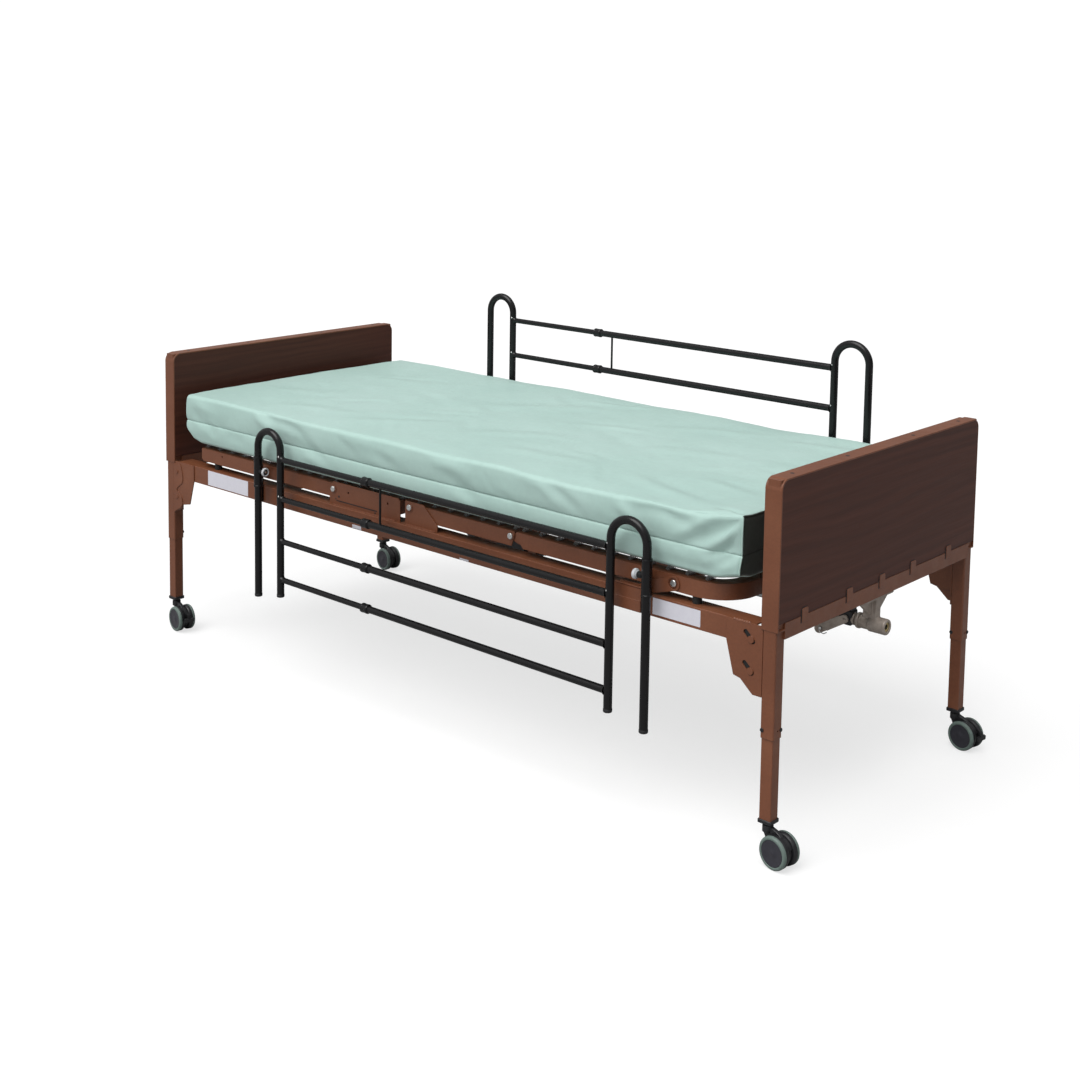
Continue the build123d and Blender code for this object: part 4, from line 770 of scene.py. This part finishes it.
for name, a, b, bodies, start, end_, reps in (
    ("mattress_cover_head", 0, i1, ("frame", "head_section"), -204, -520, ("mattress_head",)),
    ("mattress_cover_seat", i1, i2, ("frame", "thigh_section"), -190, 110, ("mattress_seat", "mattress_thigh")),
    ("mattress_cover_foot", i2, nx, ("thigh_section", "foot_section"), 150, 470, ("mattress_foot",)),
):
    keep, fm = [], []
    for f, (t, i) in zip(mfaces, mtag):
        inside = (a <= i < b) if t < 4 else (t == 4 and a == 0) or (t == 5 and b == nx)
        if inside:
            keep.append(f)
            # the foot end face takes the dark vinyl, partly its own colour and partly painted gap shade
            fm.append(1 if t == 5 else 0)
    used = sorted({v for f in keep for v in f})
    new = {v: n for n, v in enumerate(used)}
    B = Build()
    B.add([P1[v] for v in used], [tuple(new[v] for v in f) for f in keep])
    B.m = fm
    caps = 0
    for cut, flip in ((a, True), (b, False)):
        if 0 < cut < nx:
            ring = [new[v] for v in ring_at(cut)]
            c = len(B.v)
            B.v.append(tuple(np.mean([P1[v] for v in ring_at(cut)], axis=0)))
            for k in range(len(ring)):
                f = (ring[k], ring[(k + 1) % len(ring)], c)
                B.f.append(tuple(reversed(f)) if flip else f)
                B.m.append(0)
                caps += 1
    if b == nx:
        # welted edges round the dark end panel; the panel and its top welt are dark partly in their own colour and
        # partly as painted shade of the narrow gap at the footboard
        edge_top = [P1[mindex[(nx, j, nz)]] for j in range(ny + 1)]
        B.tube([p + np.array([1.0, 0, 1.2]) for p in edge_top], 2.0, 8, 1)
        for j in (0, ny):
            pts = [P1[mindex[(nx, j, k)]] + np.array([1.0, -1.0 if j == 0 else 1.0, 0]) for k in range(nz + 1)]
            B.tube(pts, 1.9, 8, 2)
    o = B.obj(name, [MINT, DARK_VINYL_AND_GAP_SHADE, PIPE], None, reps, sharp=0)
    # caps get a hard rim so that the cut faces never shade the cover
    me = o.data
    lens = [len(f) for f in B.f]
    capset = set(range(len(keep), len(keep) + caps))
    hard = {}
    for p in me.polygons:
        if p.index in capset:
            for ek in p.edge_keys:
                hard[ek] = hard.get(ek, 0) + 1
    for e in me.edges:
        if hard.get(tuple(sorted(e.vertices)), 0) == 1:
            e.use_edge_sharp = True
    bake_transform(o)

# ------------------------------------------------------------------ link-spring decks
def coil(B, a, b, R, wire, turns, m=0, hook=6.0):
    """Tension spring from a to b with straight hooked tails."""
    a, b = Vector(a), Vector(b)
    ax, u, v = frame_of(b - a)
    L = (b - a).length
    pts = [a, a + ax * hook * 0.6]
    n = turns * 10
    for i in range(n + 1):
        t = i / n
        rr = R * min(1, 8 * t + 0.15, 8 * (1 - t) + 0.15)
        ang = 2 * math.pi * turns * t
        pts.append(a + ax * (hook + (L - 2 * hook) * t) + (u * math.cos(ang) + v * math.sin(ang)) * rr)
    pts += [b - ax * hook * 0.6, b]
    B.tube(pts, wire, 6, m)


for name, body, x0, x1, ends in (("head", "head_section", -950, -362, (True, False)), ("seat", "frame", -322, -94, (False, False)),
                                 ("thigh", "thigh_section", -30, 316, (False, False)), ("foot", "foot_section", 346, 905, (False, True))):
    B = Build()
    zc = 594.2
    nxl = max(2, round((x1 - x0) / 58))
    nyl = 10
    lx = (x1 - x0) / nxl
    ly = 2 * 392.0 / nyl
    for i in range(nxl + 1):
        x = x0 + i * lx
        for j in range(nyl):
            # crosswise link: a flat loop of wire with open eyes
            y = -392 + j * ly
            s = 3.2
            loop = [(x - s, y + 4, zc), (x - s, y + ly - 4, zc), (x - s * 0.5, y + ly - 0.5, zc + 0.6), (x + s * 0.5, y + ly - 0.5, zc + 0.6),
                    (x + s, y + ly - 4, zc), (x + s, y + 4, zc), (x + s * 0.5, y + 0.5, zc - 0.6), (x - s * 0.5, y + 0.5, zc - 0.6)]
            B.tube(loop, 1.15, 6, 0, closed=True)
        for sy in (-1, 1):
            coil(B, (x, sy * 430, zc + 3.0), (x, sy * 390, zc + 0.8), 5.0, 1.1, 5)
    for j in range(nyl + 1):
        y = -392 + j * ly
        for i in range(nxl):
            x = x0 + i * lx
            s = 2.6
            loop = [(x + 4, y - s, zc), (x + lx - 4, y - s, zc), (x + lx - 0.5, y - s * 0.5, zc - 0.6), (x + lx - 0.5, y + s * 0.5, zc - 0.6),
                    (x + lx - 4, y + s, zc), (x + 4, y + s, zc), (x + 0.5, y + s * 0.5, zc + 0.6), (x + 0.5, y - s * 0.5, zc + 0.6)]
            B.tube(loop, 1.15, 6, 0, closed=True)
    if ends[1]:
        for j in range(1, nyl):
            y = -392 + j * ly
            if abs(y) < 345:
                coil(B, (x1, y, zc + 0.8), (x1 + 43, y, zc + 3.0), 5.0, 1.1, 6)
    B.obj(f"spring_fabric_{name}", [WIRE], body, (f"{name}_spring_deck",), sharp=0)

# ------------------------------------------------------------------ casters
CT, ST = math.cos(rad(-8)), math.sin(rad(-8))
for tag, sx, sy in (("foot_near", 1, -1), ("foot_far", 1, 1), ("head_near", -1, -1), ("head_far", -1, 1)):
    cx, cy = sx * END_C, sy * LEG_Y
    wc = Vector((cx + 35 * CT, cy + 35 * ST, 38.0))
    axle = Vector((-ST, CT, 0))
    B = Build()
    for s in (-1, 1):
        # tread tyre on the outer half, dark hub disc with a raised rim and cap, black inner rim
        tyre = [(29.9, 26.0), (30.9, 26.9), (33.6, 27.0), (35.9, 26.1), (37.3, 24.3), (37.9, 22.2), (38.0, 20.6), (37.8, 19.2), (37.2, 18.6)]
        B.lathe(tyre, wc, axle * s, 72, 0)
        hub = [(0, 25.4), (5.5, 25.4), (6.3, 25.0), (20, 25.3), (25.6, 25.9), (28.2, 26.3), (29.2, 26.2), (29.6, 25.2), (29.9, 25.0), (29.9, 26.0)]
        B.lathe(hub, wc, axle * s, 72, 1)
        inner = [(37.2, 18.6), (37.5, 17.8), (37.6, 13.5), (37.2, 10.4), (36.0, 8.2), (33.6, 7.2), (24.0, 6.6), (10.0, 6.6), (8.0, 6.2), (4.0, 6.2), (0, 6.2)]
        B.lathe(inner, wc, axle * s, 72, 2)
    B.cyl(wc - axle * 10, wc + axle * 10, 4.0, 24, 3)
    o = B.obj(f"caster_wheel_pair_{tag}", [TREAD, HUB, PLAST, STEEL], f"wheels_{tag}", (f"caster_wheels_{tag}",), sharp=50)
    # yoke: moulded web and hood between the wheels, collar, stem
    Y = Build()
    fx = Vector((CT, ST, 0))
    up = Vector((0, 0, 1))
    web = arc(0, 0, 31.0, -64, 75, 22) + [(2, 37), (-8, 41.5), (-21, 45), (-23.5, 46.5), (-46.5, 46.5), (-46.5, 33), (-30, 2), (-13, -19)]
    Y.prism(web, wc - axle * -5.4, fx, up, 10.8, 0, 1.4)
    hood = arc(0, 0, 33.0, 20, 112, 18) + list(reversed(arc(0, 0, 29.2, 20, 112, 18)))
    Y.prism(hood, wc - axle * -5.9, fx, up, 11.8, 0, 0.6)
    Y.lathe([(0, 69.0), (11.2, 69.0), (12.6, 70.4), (12.6, 83.5), (11.8, 85.2), (9.0, 86.2), (8.8, 90.2), (0, 90.2)], (cx, cy, 0), (0, 0, 1), 40, 0)
    Y.lathe([(0, 80), (5.3, 80), (5.3, 117), (4.2, 118), (0, 118)], (cx, cy, 0), (0, 0, 1), 24, 1)
    Y.obj(f"caster_fork_{tag}", [PLAST, STEEL], f"caster_{tag}", (f"caster_yoke_{tag}",), sharp=40)

# black end plugs under the inner legs
for tag, sx, sy in (("foot_near", 1, -1), ("foot_far", 1, 1), ("head_near", -1, -1), ("head_far", -1, 1)):
    cx, cy = sx * END_C, sy * LEG_Y
    B = Build()
    h = 17.6
    sq = []
    for qx, qy, a0 in ((1, 1, 0), (-1, 1, 90), (-1, -1, 180), (1, -1, 270)):
        sq += arc(cx + qx * (h - 3), cy + qy * (h - 3), 3, a0, a0 + 90, 6)
    hole = arc(cx, cy, 9.6, 0, 360, 28)
    B.prism(sq, (0, 0, 90.6), (1, 0, 0), (0, 1, 0), 9.2, 0, 1.3)
    B.obj(f"leg_plug_{tag}", [PLAST], f"leg_{tag}", sharp=40)

# ------------------------------------------------------------------ release knobs
for tag, x, sy in (("foot_near", 780.0, -1), ("foot_far", 780.0, 1), ("head_near", -630.0, -1), ("head_far", -630.0, 1)):
    s = -1 if x > 0 else 1
    B = Build()
    o = Vector((x, sy * 485.0, 588.0))
    ax = Vector((s, 0, 0))
    body = [(0, 25.6), (7.2, 25.6), (7.8, 26.4), (8.6, 27.6), (11.4, 28.4), (12.1, 29.2), (12.3, 31.0), (12.3, 34.4), (11.9, 35.6), (11.0, 36.3), (9.6, 36.4), (8.4, 36.0), (7.6, 35.0)]
    B.lathe(body, o, ax, 48, 0)
    B.lathe([(7.6, 35.0), (7.4, 32.2), (3.8, 31.8)], o, ax, 48, 1)
    B.lathe([(3.8, 31.8), (3.6, 34.4), (3.0, 35.0), (0, 35.0)], o, ax, 48, 2)
    B.lathe([(0, 11.2), (3.95, 11.2), (3.95, 25.8), (0, 25.8)], o, ax, 28, 2)
    B.lathe([(0, 20.0), (6.4, 20.0), (6.8, 20.6), (6.8, 25.2), (0, 25.2)], o, ax, 36, 3) if False else None
    B.obj(f"knob_{tag}", [KNOB, PLAST, STEEL, PLAST], f"knob_{tag}", (f"release_knob_{tag}",), sharp=45)

# ------------------------------------------------------------------ bed ends: board retaining tabs, screws, set screws
for end_name, sx in (("foot", 1), ("head", -1)):
    B = Build()
    face = sx * 1117.5
    for y in (-350, -160, -12, 137, 318):
        # bent tab rising from the rail over the board; a thin black strip along its near side and top is a painted
        # shadow of the tab on the board
        w = 12.5
        prof = [(-w, 531), (w, 531), (w, 556)] + arc(w - 5, 558, 5, 0, 90, 5) + arc(-w + 5, 558, 5, 90, 180, 5) + [(-w, 556)]
        t0 = face if sx > 0 else face - 1.7
        B.prism([(p[0] + y, p[1]) for p in prof], (t0, 0, 0), (0, 1, 0), (0, 0, 1), 1.7, 0, 0.5)
        # painted shadow: black strip on the board face round the tab's near side and top
        tab_painted_shadow = [(-w - 4.0, 530), (-w - 0.1, 530), (-w - 0.1, 558.0), (-w + 5, 563.2), (w - 4, 563.2), (w - 4, 565.2), (-w + 3, 565.2), (-w - 4.0, 559)]
        shadow_x0 = face - 0.15 if sx > 0 else face - 0.25
        B.prism([(p[0] + y, p[1]) for p in tab_painted_shadow], (shadow_x0, 0, 0), (0, 1, 0), (0, 0, 1), 0.4, 1)
    for y in (-385, -153, 153, 385):
        B.lathe([(0, 868.3), (1.6, 868.4), (4.6, 868.35), (5.2, 867.9), (5.2, 865), (0, 865)], (sx * END_C, y, 0), (0, 0, 1), 24, 1)
    for y in (-LEG_Y, LEG_Y):
        # set screws low on the outer legs, close to two opposite corners
        screw = [(0, 1.0), (1.4, 1.0), (1.5, 1.9), (4.0, 1.9), (4.6, 1.2), (4.6, -2.0), (0, -2.0)]
        B.lathe(screw, (sx * (END_C + 17.25), y + 12.4, 303), (sx, 0, 0), 28, 1)
        sgn = -1 if sx > 0 else 1
        B.lathe(screw, (sx * (END_C - 12.4), y + sgn * 17.25, 303), (0, sgn, 0), 28, 1)
    B.obj(f"board_clips_{end_name}", [BROWN, PLAST], "frame", sharp=35)

# ------------------------------------------------------------------ side rails: blank stickers, link saddles, hook pins, welds
B = Build()
for x0, x1, z0, z1 in ((-911, -719, 488.5, 533), (774, 909, 491, 530)):
    B.block((x0, -452.35, z0), (x1, -452.0, z1), 0)
for x0, x1, z0, z1 in ((-262, -226, 486.5, 496.5), (150, 182, 485.5, 490.5)):
    B.block((x0, -452.35, z0), (x1, -452.0, z1), 0)
B.obj("blank_stickers", [LABEL], "frame", sharp=30)

B = Build()
for sy in (-1, 1):
    def yb(a, b):
        return (min(sy * a, sy * b), max(sy * a, sy * b))
    # saddle that carries the foot link: outer cheek, top strip, return lip, weld bead
    ya, yb_ = yb(452.1, 455.6)
    B.block((662, ya, 486), (742, yb_, 545), 0, 0.8)
    ya, yb_ = yb(447.5, 455.6)
    B.block((662, ya, 542.2), (742, yb_, 546), 0, 0.8)
    ya, yb_ = yb(455.2, 457.0)
    B.block((663, ya, 486), (741, yb_, 514), 0, 0.7)
    ya, yb_ = yb(402, 436)
    B.block((664, ya, 535.2), (740, yb_, 545), 0, 0.8)
    # rail end hooks with a bright pin
    B.cyl((1070, sy * 449, 531), (1079, sy * 449, 531), 4.2, 24, 1, 0.8)
    for k in range(7):
        xw = 1002 + k * 6.5
        B.lathe([(0, -1.6), (3.0, -1.2), (3.9, 0.4), (2.6, 1.8), (0, 2.3)], (xw, sy * 452.5, 535.2), (0, sy * 0.6, 0.8), 14, 0)
    # weld beads below the seat plates and thigh plate, and rivets
    for xa, xb in ((-352, -100), (-58, 52)):
        pts = []
        n = int((xb - xa) / 5)
        for k in range(n + 1):
            pts.append((xa + (xb - xa) * k / n, sy * 444.2, 535.6 + 0.5 * math.sin(k * 2.1)))
        B.tube(pts, 2.0, 8, 0)
    ya, yb_ = yb(443.4, 444.5)
    B.block((-336, ya, 546.6), (-172, yb_, 549.0), 2)
    # stamped dimples and rivets round the backrest hinge
    for xx, zz, rr in ((-327, 560, 3.4), (-340, 552, 2.4), (-180, 541, 2.6)):
        B.lathe([(0, 1.2), (rr * 0.6, 1.0), (rr, 0.1), (rr, -0.6), (0, -0.6)], (xx, sy * 443.6, zz), (0, sy, 0), 20, 2)
B.obj("rail_fittings", [BROWN, STEEL, PLAST], "frame", sharp=35)

# painted shadow: black patches laid in the hook slots of the foot corner brackets, standing in for the shade inside the
# slot openings
B = Build()
for sy in (-1, 1):
    for xx, zz in ((1043, 504), (1042, 433)):
        cap = arc(13, 0, 5.9, -90, 90, 12) + arc(-13, 0, 5.9, 90, 270, 12)
        c43, s43 = math.cos(rad(-43)), math.sin(rad(-43))
        y0 = -451.9 if sy < 0 else 452.3
        B.prism(cap, (xx, y0, zz), (c43, 0, s43), (-s43, 0, c43), 0.4, 0)
B.obj("bracket_slot_painted_shadows", [RUBBER], "frame", sharp=35)

# foot links seen outside the deck: a plate from the saddle to the cross tube's end bolt
B = Build()
p0, p1 = Vector((700, 530)), Vector((824, 572))
d = (p1 - p0)
ang = math.degrees(math.atan2(d.y, d.x))
L = d.length
for sy in (-1, 1):
    xd = Vector((math.cos(rad(ang)), 0, math.sin(rad(ang))))
    yd = Vector((-math.sin(rad(ang)), 0, math.cos(rad(ang))))
    ring_out = arc(L, 0, 17.5, -100, 100, 22)
    outline = [(34, -9)] + [(60, -15)] + ring_out + [(60, 15), (34, 10)]
    # plate with a round eye round the bolt: two halves sharing the eye's rim
    eye = arc(L, 0, 13.4, -180, 180, 40)
    org = (p0.x, -440.6 if sy < 0 else 443.4, p0.y)
    n_o = len(outline)
    up_half = [(34, 0.0), (L - 13.4, 0.0)] + [(L + 13.4 * math.cos(rad(t)), 13.4 * math.sin(rad(t))) for t in range(171, -1, -9)] + \
              [(L + 17.5, 0.0)] + [(L + 17.5 * math.cos(rad(t)), 17.5 * math.sin(rad(t))) for t in range(9, 100, 9)] + [(60, 15), (34, 10)]
    lo_half = [(x, -y) for x, y in up_half]
    B.prism(up_half, org, xd, yd, 2.8, 0)
    B.prism(list(reversed(lo_half)), org, xd, yd, 2.8, 0)
B.obj("foot_link_arms", [BROWN], "foot_link", sharp=35)

# ------------------------------------------------------------------ guard rails: ferrules, pressed ends, weld fillets
for tag, sy, crown in (("near", -1, 720.0), ("far", 1, 1020.0)):
    B = Build()
    gy = sy * 485.0
    for dd in (83.0, 197.0, 320.0, 432.0):
        z = crown - dd
        # collar: swelled ferrule over the joint of the two halves
        prof = [(9.6, -14), (11.6, -13.2), (12.9, -11.5), (13.1, -8), (12.4, -5.5), (12.3, 5.5), (13.1, 8), (12.9, 11.2), (11.4, 13.0), (8.0, 13.6)]
        B.lathe(prof, (-170, gy, z), (-1, 0, 0), 40, 0)
        # weld fillets where the bars meet the legs
        for xj, s, r in ((673.0, -1, 9.5), (-530.0, 1, 7.9)):
            base = 10.5
            B.lathe([(r + 3.0, base - 2.2), (r + 2.2, base - 0.6), (r + 1.0, base + 1.0), (r + 0.15, base + 3.2)], (xj, gy, z), (s, 0, 0), 32, 0)
        # bright set-screw heads
        if dd < 200:
            for xj in (-530.0, 673.0):
                B.lathe([(0, 12.0), (1.8, 11.6), (2.4, 10.9), (2.4, 9.8), (0, 9.8)], (xj, gy, z + 9), (0.35 if xj < 0 else -0.35, -1, 0), 16, 1)
    # caps at the lower leg ends
    for xo, low in ((780.0, 502), (673.0, 482), (-530.0, 482), (-630.0, 502)):
        z = crown - low
        B.lathe([(0, -1.6), (8.6, -1.6), (10.4, -0.9), (11.15, 0.6), (11.15, 6.5), (10.6, 7.2)], (xo, gy, z), (0, 0, 1), 36, 2)
    B.obj(f"guard_fittings_{tag}", [BLACK, STEEL, PLAST], f"guard_{tag}", sharp=40)

# sleeve collars and rivets on the fixed sleeves
B = Build()
for sy in (-1, 1):
    for x in (780.0, -630.0):
        B.lathe([(10.9, 630.4), (12.6, 630.2), (13.2, 629.2), (13.2, 624.5), (12.3, 623.5)], (x, sy * 485, 0), (0, 0, 1), 40, 0)
        B.lathe([(12.3, 546.5), (13.2, 545.5), (13.2, 541.6), (12.6, 540.6), (10.9, 540.4)], (x, sy * 485, 0), (0, 0, 1), 40, 0)
        for z in (499, 579):
            B.lathe([(0, 2.6), (2.6, 2.3), (4.4, 1.2), (4.8, 0), (0, 0)], (x - 26, sy * 460.0, z), (0, sy, 0), 24, 1) if z < 540 else None
B.obj("sleeve_collars", [BLACK, STEEL], "frame", sharp=40)

# ------------------------------------------------------------------ gearboxes: black coupling block, rings, brass drive socket
B = Build()
for sx in (1, -1):
    def X(v):
        return sx * v
    # ring face with the recessed brass hexagon socket
    ring = [(12.1, 34.2), (12.9, 36.6), (16.0, 37.2), (18.0, 36.6)]
    hexr = 12.7 / 2 / math.cos(rad(30))
    c0 = Vector((X(END_C), -10, 436))
    seg = 36
    a, u, v = frame_of((sx, 0, 0))
    outer = [c0 + a * 36.3 + (u * math.cos(2 * math.pi * k / seg) + v * math.sin(2 * math.pi * k / seg)) * 11.9 for k in range(seg)]
    outer2 = [c0 + a * 37.0 + (u * math.cos(2 * math.pi * k / seg) + v * math.sin(2 * math.pi * k / seg)) * 11.0 for k in range(seg)]
    def hexp(h, s=1.0):
        pts = []
        for k in range(seg):
            t = 2 * math.pi * k / seg
            q = (t % rad(60)) - rad(30)
            rr = 12.7 / 2 / math.cos(q) * s
            pts.append(c0 + a * h + (u * math.cos(t) + v * math.sin(t)) * rr)
        return pts
    rings = [outer, outer2, hexp(37.0, 1.12), hexp(36.2), hexp(20.0)]
    b0 = len(B.v)
    for rg in rings:
        B.v += [tuple(p) for p in rg]
    for k in range(len(rings) - 1):
        for i in range(seg):
            j = (i + 1) % seg
            B.f.append((b0 + k * seg + i, b0 + k * seg + j, b0 + (k + 1) * seg + j, b0 + (k + 1) * seg + i))
            B.m.append(1)
    B.f.append(tuple(b0 + (len(rings) - 1) * seg + i for i in range(seg)))
    B.m.append(2)
B.obj("crank_sockets", [STEEL, BRASS, PLAST], "drive_line", sharp=35)

B = Build()
# coupling block behind the foot gearbox and collar behind the head one
for sx in (1, -1):
    x0, x1 = sx * 1011.0, sx * 1047.0
    B.block((min(x0, x1), -25.2, 421.5), (max(x0, x1), 5.2, 455.5), 0, 2.4, "x")
    B.block((min(sx * 1018, sx * 1044), -23.0, 455.3), (max(sx * 1018, sx * 1044), 3.0, 463.0), 0, 1.6, "z")
    B.lathe([(15.0, -4), (18.6, -3.2), (19.4, -1.6), (19.4, 3.0), (18.4, 4.4), (15.0, 5.0)], (sx * 1060.0, -10, 436), (sx, 0, 0), 44, 1)
B.obj("coupling_blocks", [PLAST, CAST], "frame", sharp=40)

B = Build()
# spring clip and pin across the lever
fp = Vector((1030, -10, 436))
xd = Vector((-math.cos(rad(30)), 0, -math.sin(rad(30))))
pin = fp + xd * 74
B.cyl(pin + Vector((0, -24, 0)), pin + Vector((0, 24, 0)), 3.9, 20, 0, 0.6)
clip = [pin + Vector((0, 22, 0)) + Vector((6 * math.cos(t / 10 * 2 * math.pi), 0, 6 * math.sin(t / 10 * 2 * math.pi))) for t in range(8)]
B.tube(clip, 1.1, 8, 0)
B.tube([pin + Vector((-4, -24, -3)), pin + Vector((2, -25.5, -9)), pin + Vector((12, -25, -11)), pin + Vector((20, -24.5, -6))], 1.2, 8, 0)
B.obj("lever_clip", [STEEL], "coupling_arm", sharp=40)

# ------------------------------------------------------------------ bolts: hexagon recess rings on the bright caps
B = Build()
for sy in (-1, 1):
    for x, z in ((-350.0, 578.0), (-45.0, 583.0)):
        B.lathe([(2.6, 4.95), (3.4, 5.15), (4.0, 4.9)], (x, sy * 443.6, z), (0, sy, 0), 24, 0)
        B.lathe([(0, 4.2), (2.5, 4.2), (2.6, 4.95)], (x, sy * 443.6, z), (0, sy, 0), 6, 1)
        B.lathe([(8.6, 0.05), (12.0, 0.05), (12.6, 0.6), (12.6, 1.0), (8.6, 1.2)], (x, sy * 443.55, z), (0, sy, 0), 32, 2)
B.obj("hinge_cap_details", [STEEL, PLAST, BROWN], "frame", sharp=35)

# ------------------------------------------------------------------ stage, light, camera
fl = bpy.data.meshes.new("floor")
S = 30.0
fl.from_pydata([(-S, -S, 0), (S, -S, 0), (S, S, 0), (-S, S, 0)], [], [(0, 1, 2, 3)])
floor = bpy.data.objects.new("floor", fl)
bpy.context.scene.collection.objects.link(floor)
fm = Mat("Floor_Pale")
fco = fm.coords()
flp = fm.n("ShaderNodeLightPath")
fm.set(Base_Color=fm.ramp(fm.noise(fco, 1.5, 3, 0.5), [(0.3, (0.34, 0.34, 0.342, 1)), (0.7, (0.36, 0.36, 0.36, 1))]), Roughness=0.8, Specular_IOR_Level=0.0,
       Emission_Color=(1, 1, 1, 1), Emission_Strength=fm.math("MULTIPLY", flp.outputs["Is Camera Ray"], 0.68))
fl.materials.append(fm.mat)

world = bpy.data.worlds.new("studio")
bpy.context.scene.world = world
world.use_nodes = True
wt = world.node_tree
wt.nodes.clear()
wo = wt.nodes.new("ShaderNodeOutputWorld")
mixw = wt.nodes.new("ShaderNodeMixShader")
lp = wt.nodes.new("ShaderNodeLightPath")
b1 = wt.nodes.new("ShaderNodeBackground")
b2 = wt.nodes.new("ShaderNodeBackground")
tcw = wt.nodes.new("ShaderNodeTexCoord")
dotw = wt.nodes.new("ShaderNodeVectorMath")
dotw.operation = "DOT_PRODUCT"
dotw.inputs[1].default_value = (-0.62, -0.78, 0.10)
mr = wt.nodes.new("ShaderNodeMapRange")
wt.links.new(tcw.outputs["Generated"], dotw.inputs[0])
wt.links.new(dotw.outputs["Value"], mr.inputs[0])
mr.inputs[1].default_value = -1.0
mr.inputs[2].default_value = 1.0
mr.inputs[3].default_value = 0.12
mr.inputs[4].default_value = 0.60
wt.links.new(mr.outputs[0], b1.inputs[1])
b1.inputs[0].default_value = (0.98, 0.99, 1.0, 1)
b2.inputs[0].default_value = (1, 1, 1, 1)
b2.inputs[1].default_value = 1.05
wt.links.new(lp.outputs["Is Camera Ray"], mixw.inputs[0])
wt.links.new(b1.outputs[0], mixw.inputs[1])
wt.links.new(b2.outputs[0], mixw.inputs[2])
wt.links.new(mixw.outputs[0], wo.inputs[0])


def sun(name, toward, strength, spread, col=(1, 1, 1)):
    l = bpy.data.lights.new(name, "SUN")
    l.energy = strength
    l.color = col
    l.angle = rad(spread)
    o = bpy.data.objects.new(name, l)
    o.location = Vector(toward) * 4.0
    o.rotation_euler = Vector(toward).to_track_quat("Z", "Y").to_euler()
    bpy.context.scene.collection.objects.link(o)
    return o


sun("key", (-0.06, -0.50, 0.86), 2.35, 48, (1.0, 0.995, 0.985))
sun("fill", (0.35, 0.25, 0.90), 0.45, 80, (1, 1, 1))

cam_d = bpy.data.cameras.new("cam")
cam = bpy.data.objects.new("cam", cam_d)
bpy.context.scene.collection.objects.link(cam)
cam_d.sensor_width = 36.0
cam_d.sensor_fit = "HORIZONTAL"
cam_d.lens = 36.0 * 1596.4 / 1080.0
cam_d.clip_start = 0.05
cam_d.clip_end = 200.0
yaw, pitch, roll = rad(132.162), rad(-6.068), rad(0.768)
fw = Vector((math.cos(pitch) * math.cos(yaw), math.cos(pitch) * math.sin(yaw), math.sin(pitch)))
right = fw.cross(Vector((0, 0, 1))).normalized()
upv = right.cross(fw)
r2 = right * math.cos(roll) + upv * math.sin(roll)
u2 = upv * math.cos(roll) - right * math.sin(roll)
CAM = Vector(to_m((2943.7, -3319.9, 1709.0)))
mw = Matrix((
    (r2.x, u2.x, -fw.x, CAM.x),
    (r2.y, u2.y, -fw.y, CAM.y),
    (r2.z, u2.z, -fw.z, CAM.z),
    (0, 0, 0, 1)))
cam.matrix_world = mw
SHX, SHY = (540.0 - 520.4) / 1080.0, (251.8 - 540.0) / 1080.0
cam_d.shift_x, cam_d.shift_y = SHX, SHY
# the lens shift belongs to this one viewpoint; any other viewpoint gets a centred lens
for path, val in (("shift_x", SHX), ("shift_y", SHY)):
    dr = cam_d.driver_add(path).driver
    dr.type = "SCRIPTED"
    for nm, axis in (("px", "LOC_X"), ("py", "LOC_Y"), ("pz", "LOC_Z")):
        var = dr.variables.new()
        var.name = nm
        var.type = "TRANSFORMS"
        var.targets[0].id = cam
        var.targets[0].transform_type = axis
        var.targets[0].transform_space = "WORLD_SPACE"
    dr.expression = f"{val:.6f} if abs(px - {CAM.x:.4f}) + abs(py - {CAM.y:.4f}) + abs(pz - {CAM.z:.4f}) < 0.02 else 0.0"
bpy.context.scene.camera = cam
bpy.context.scene.view_settings.view_transform = "Standard"
bpy.context.scene.view_settings.look = "None"
bpy.context.view_layer.update()
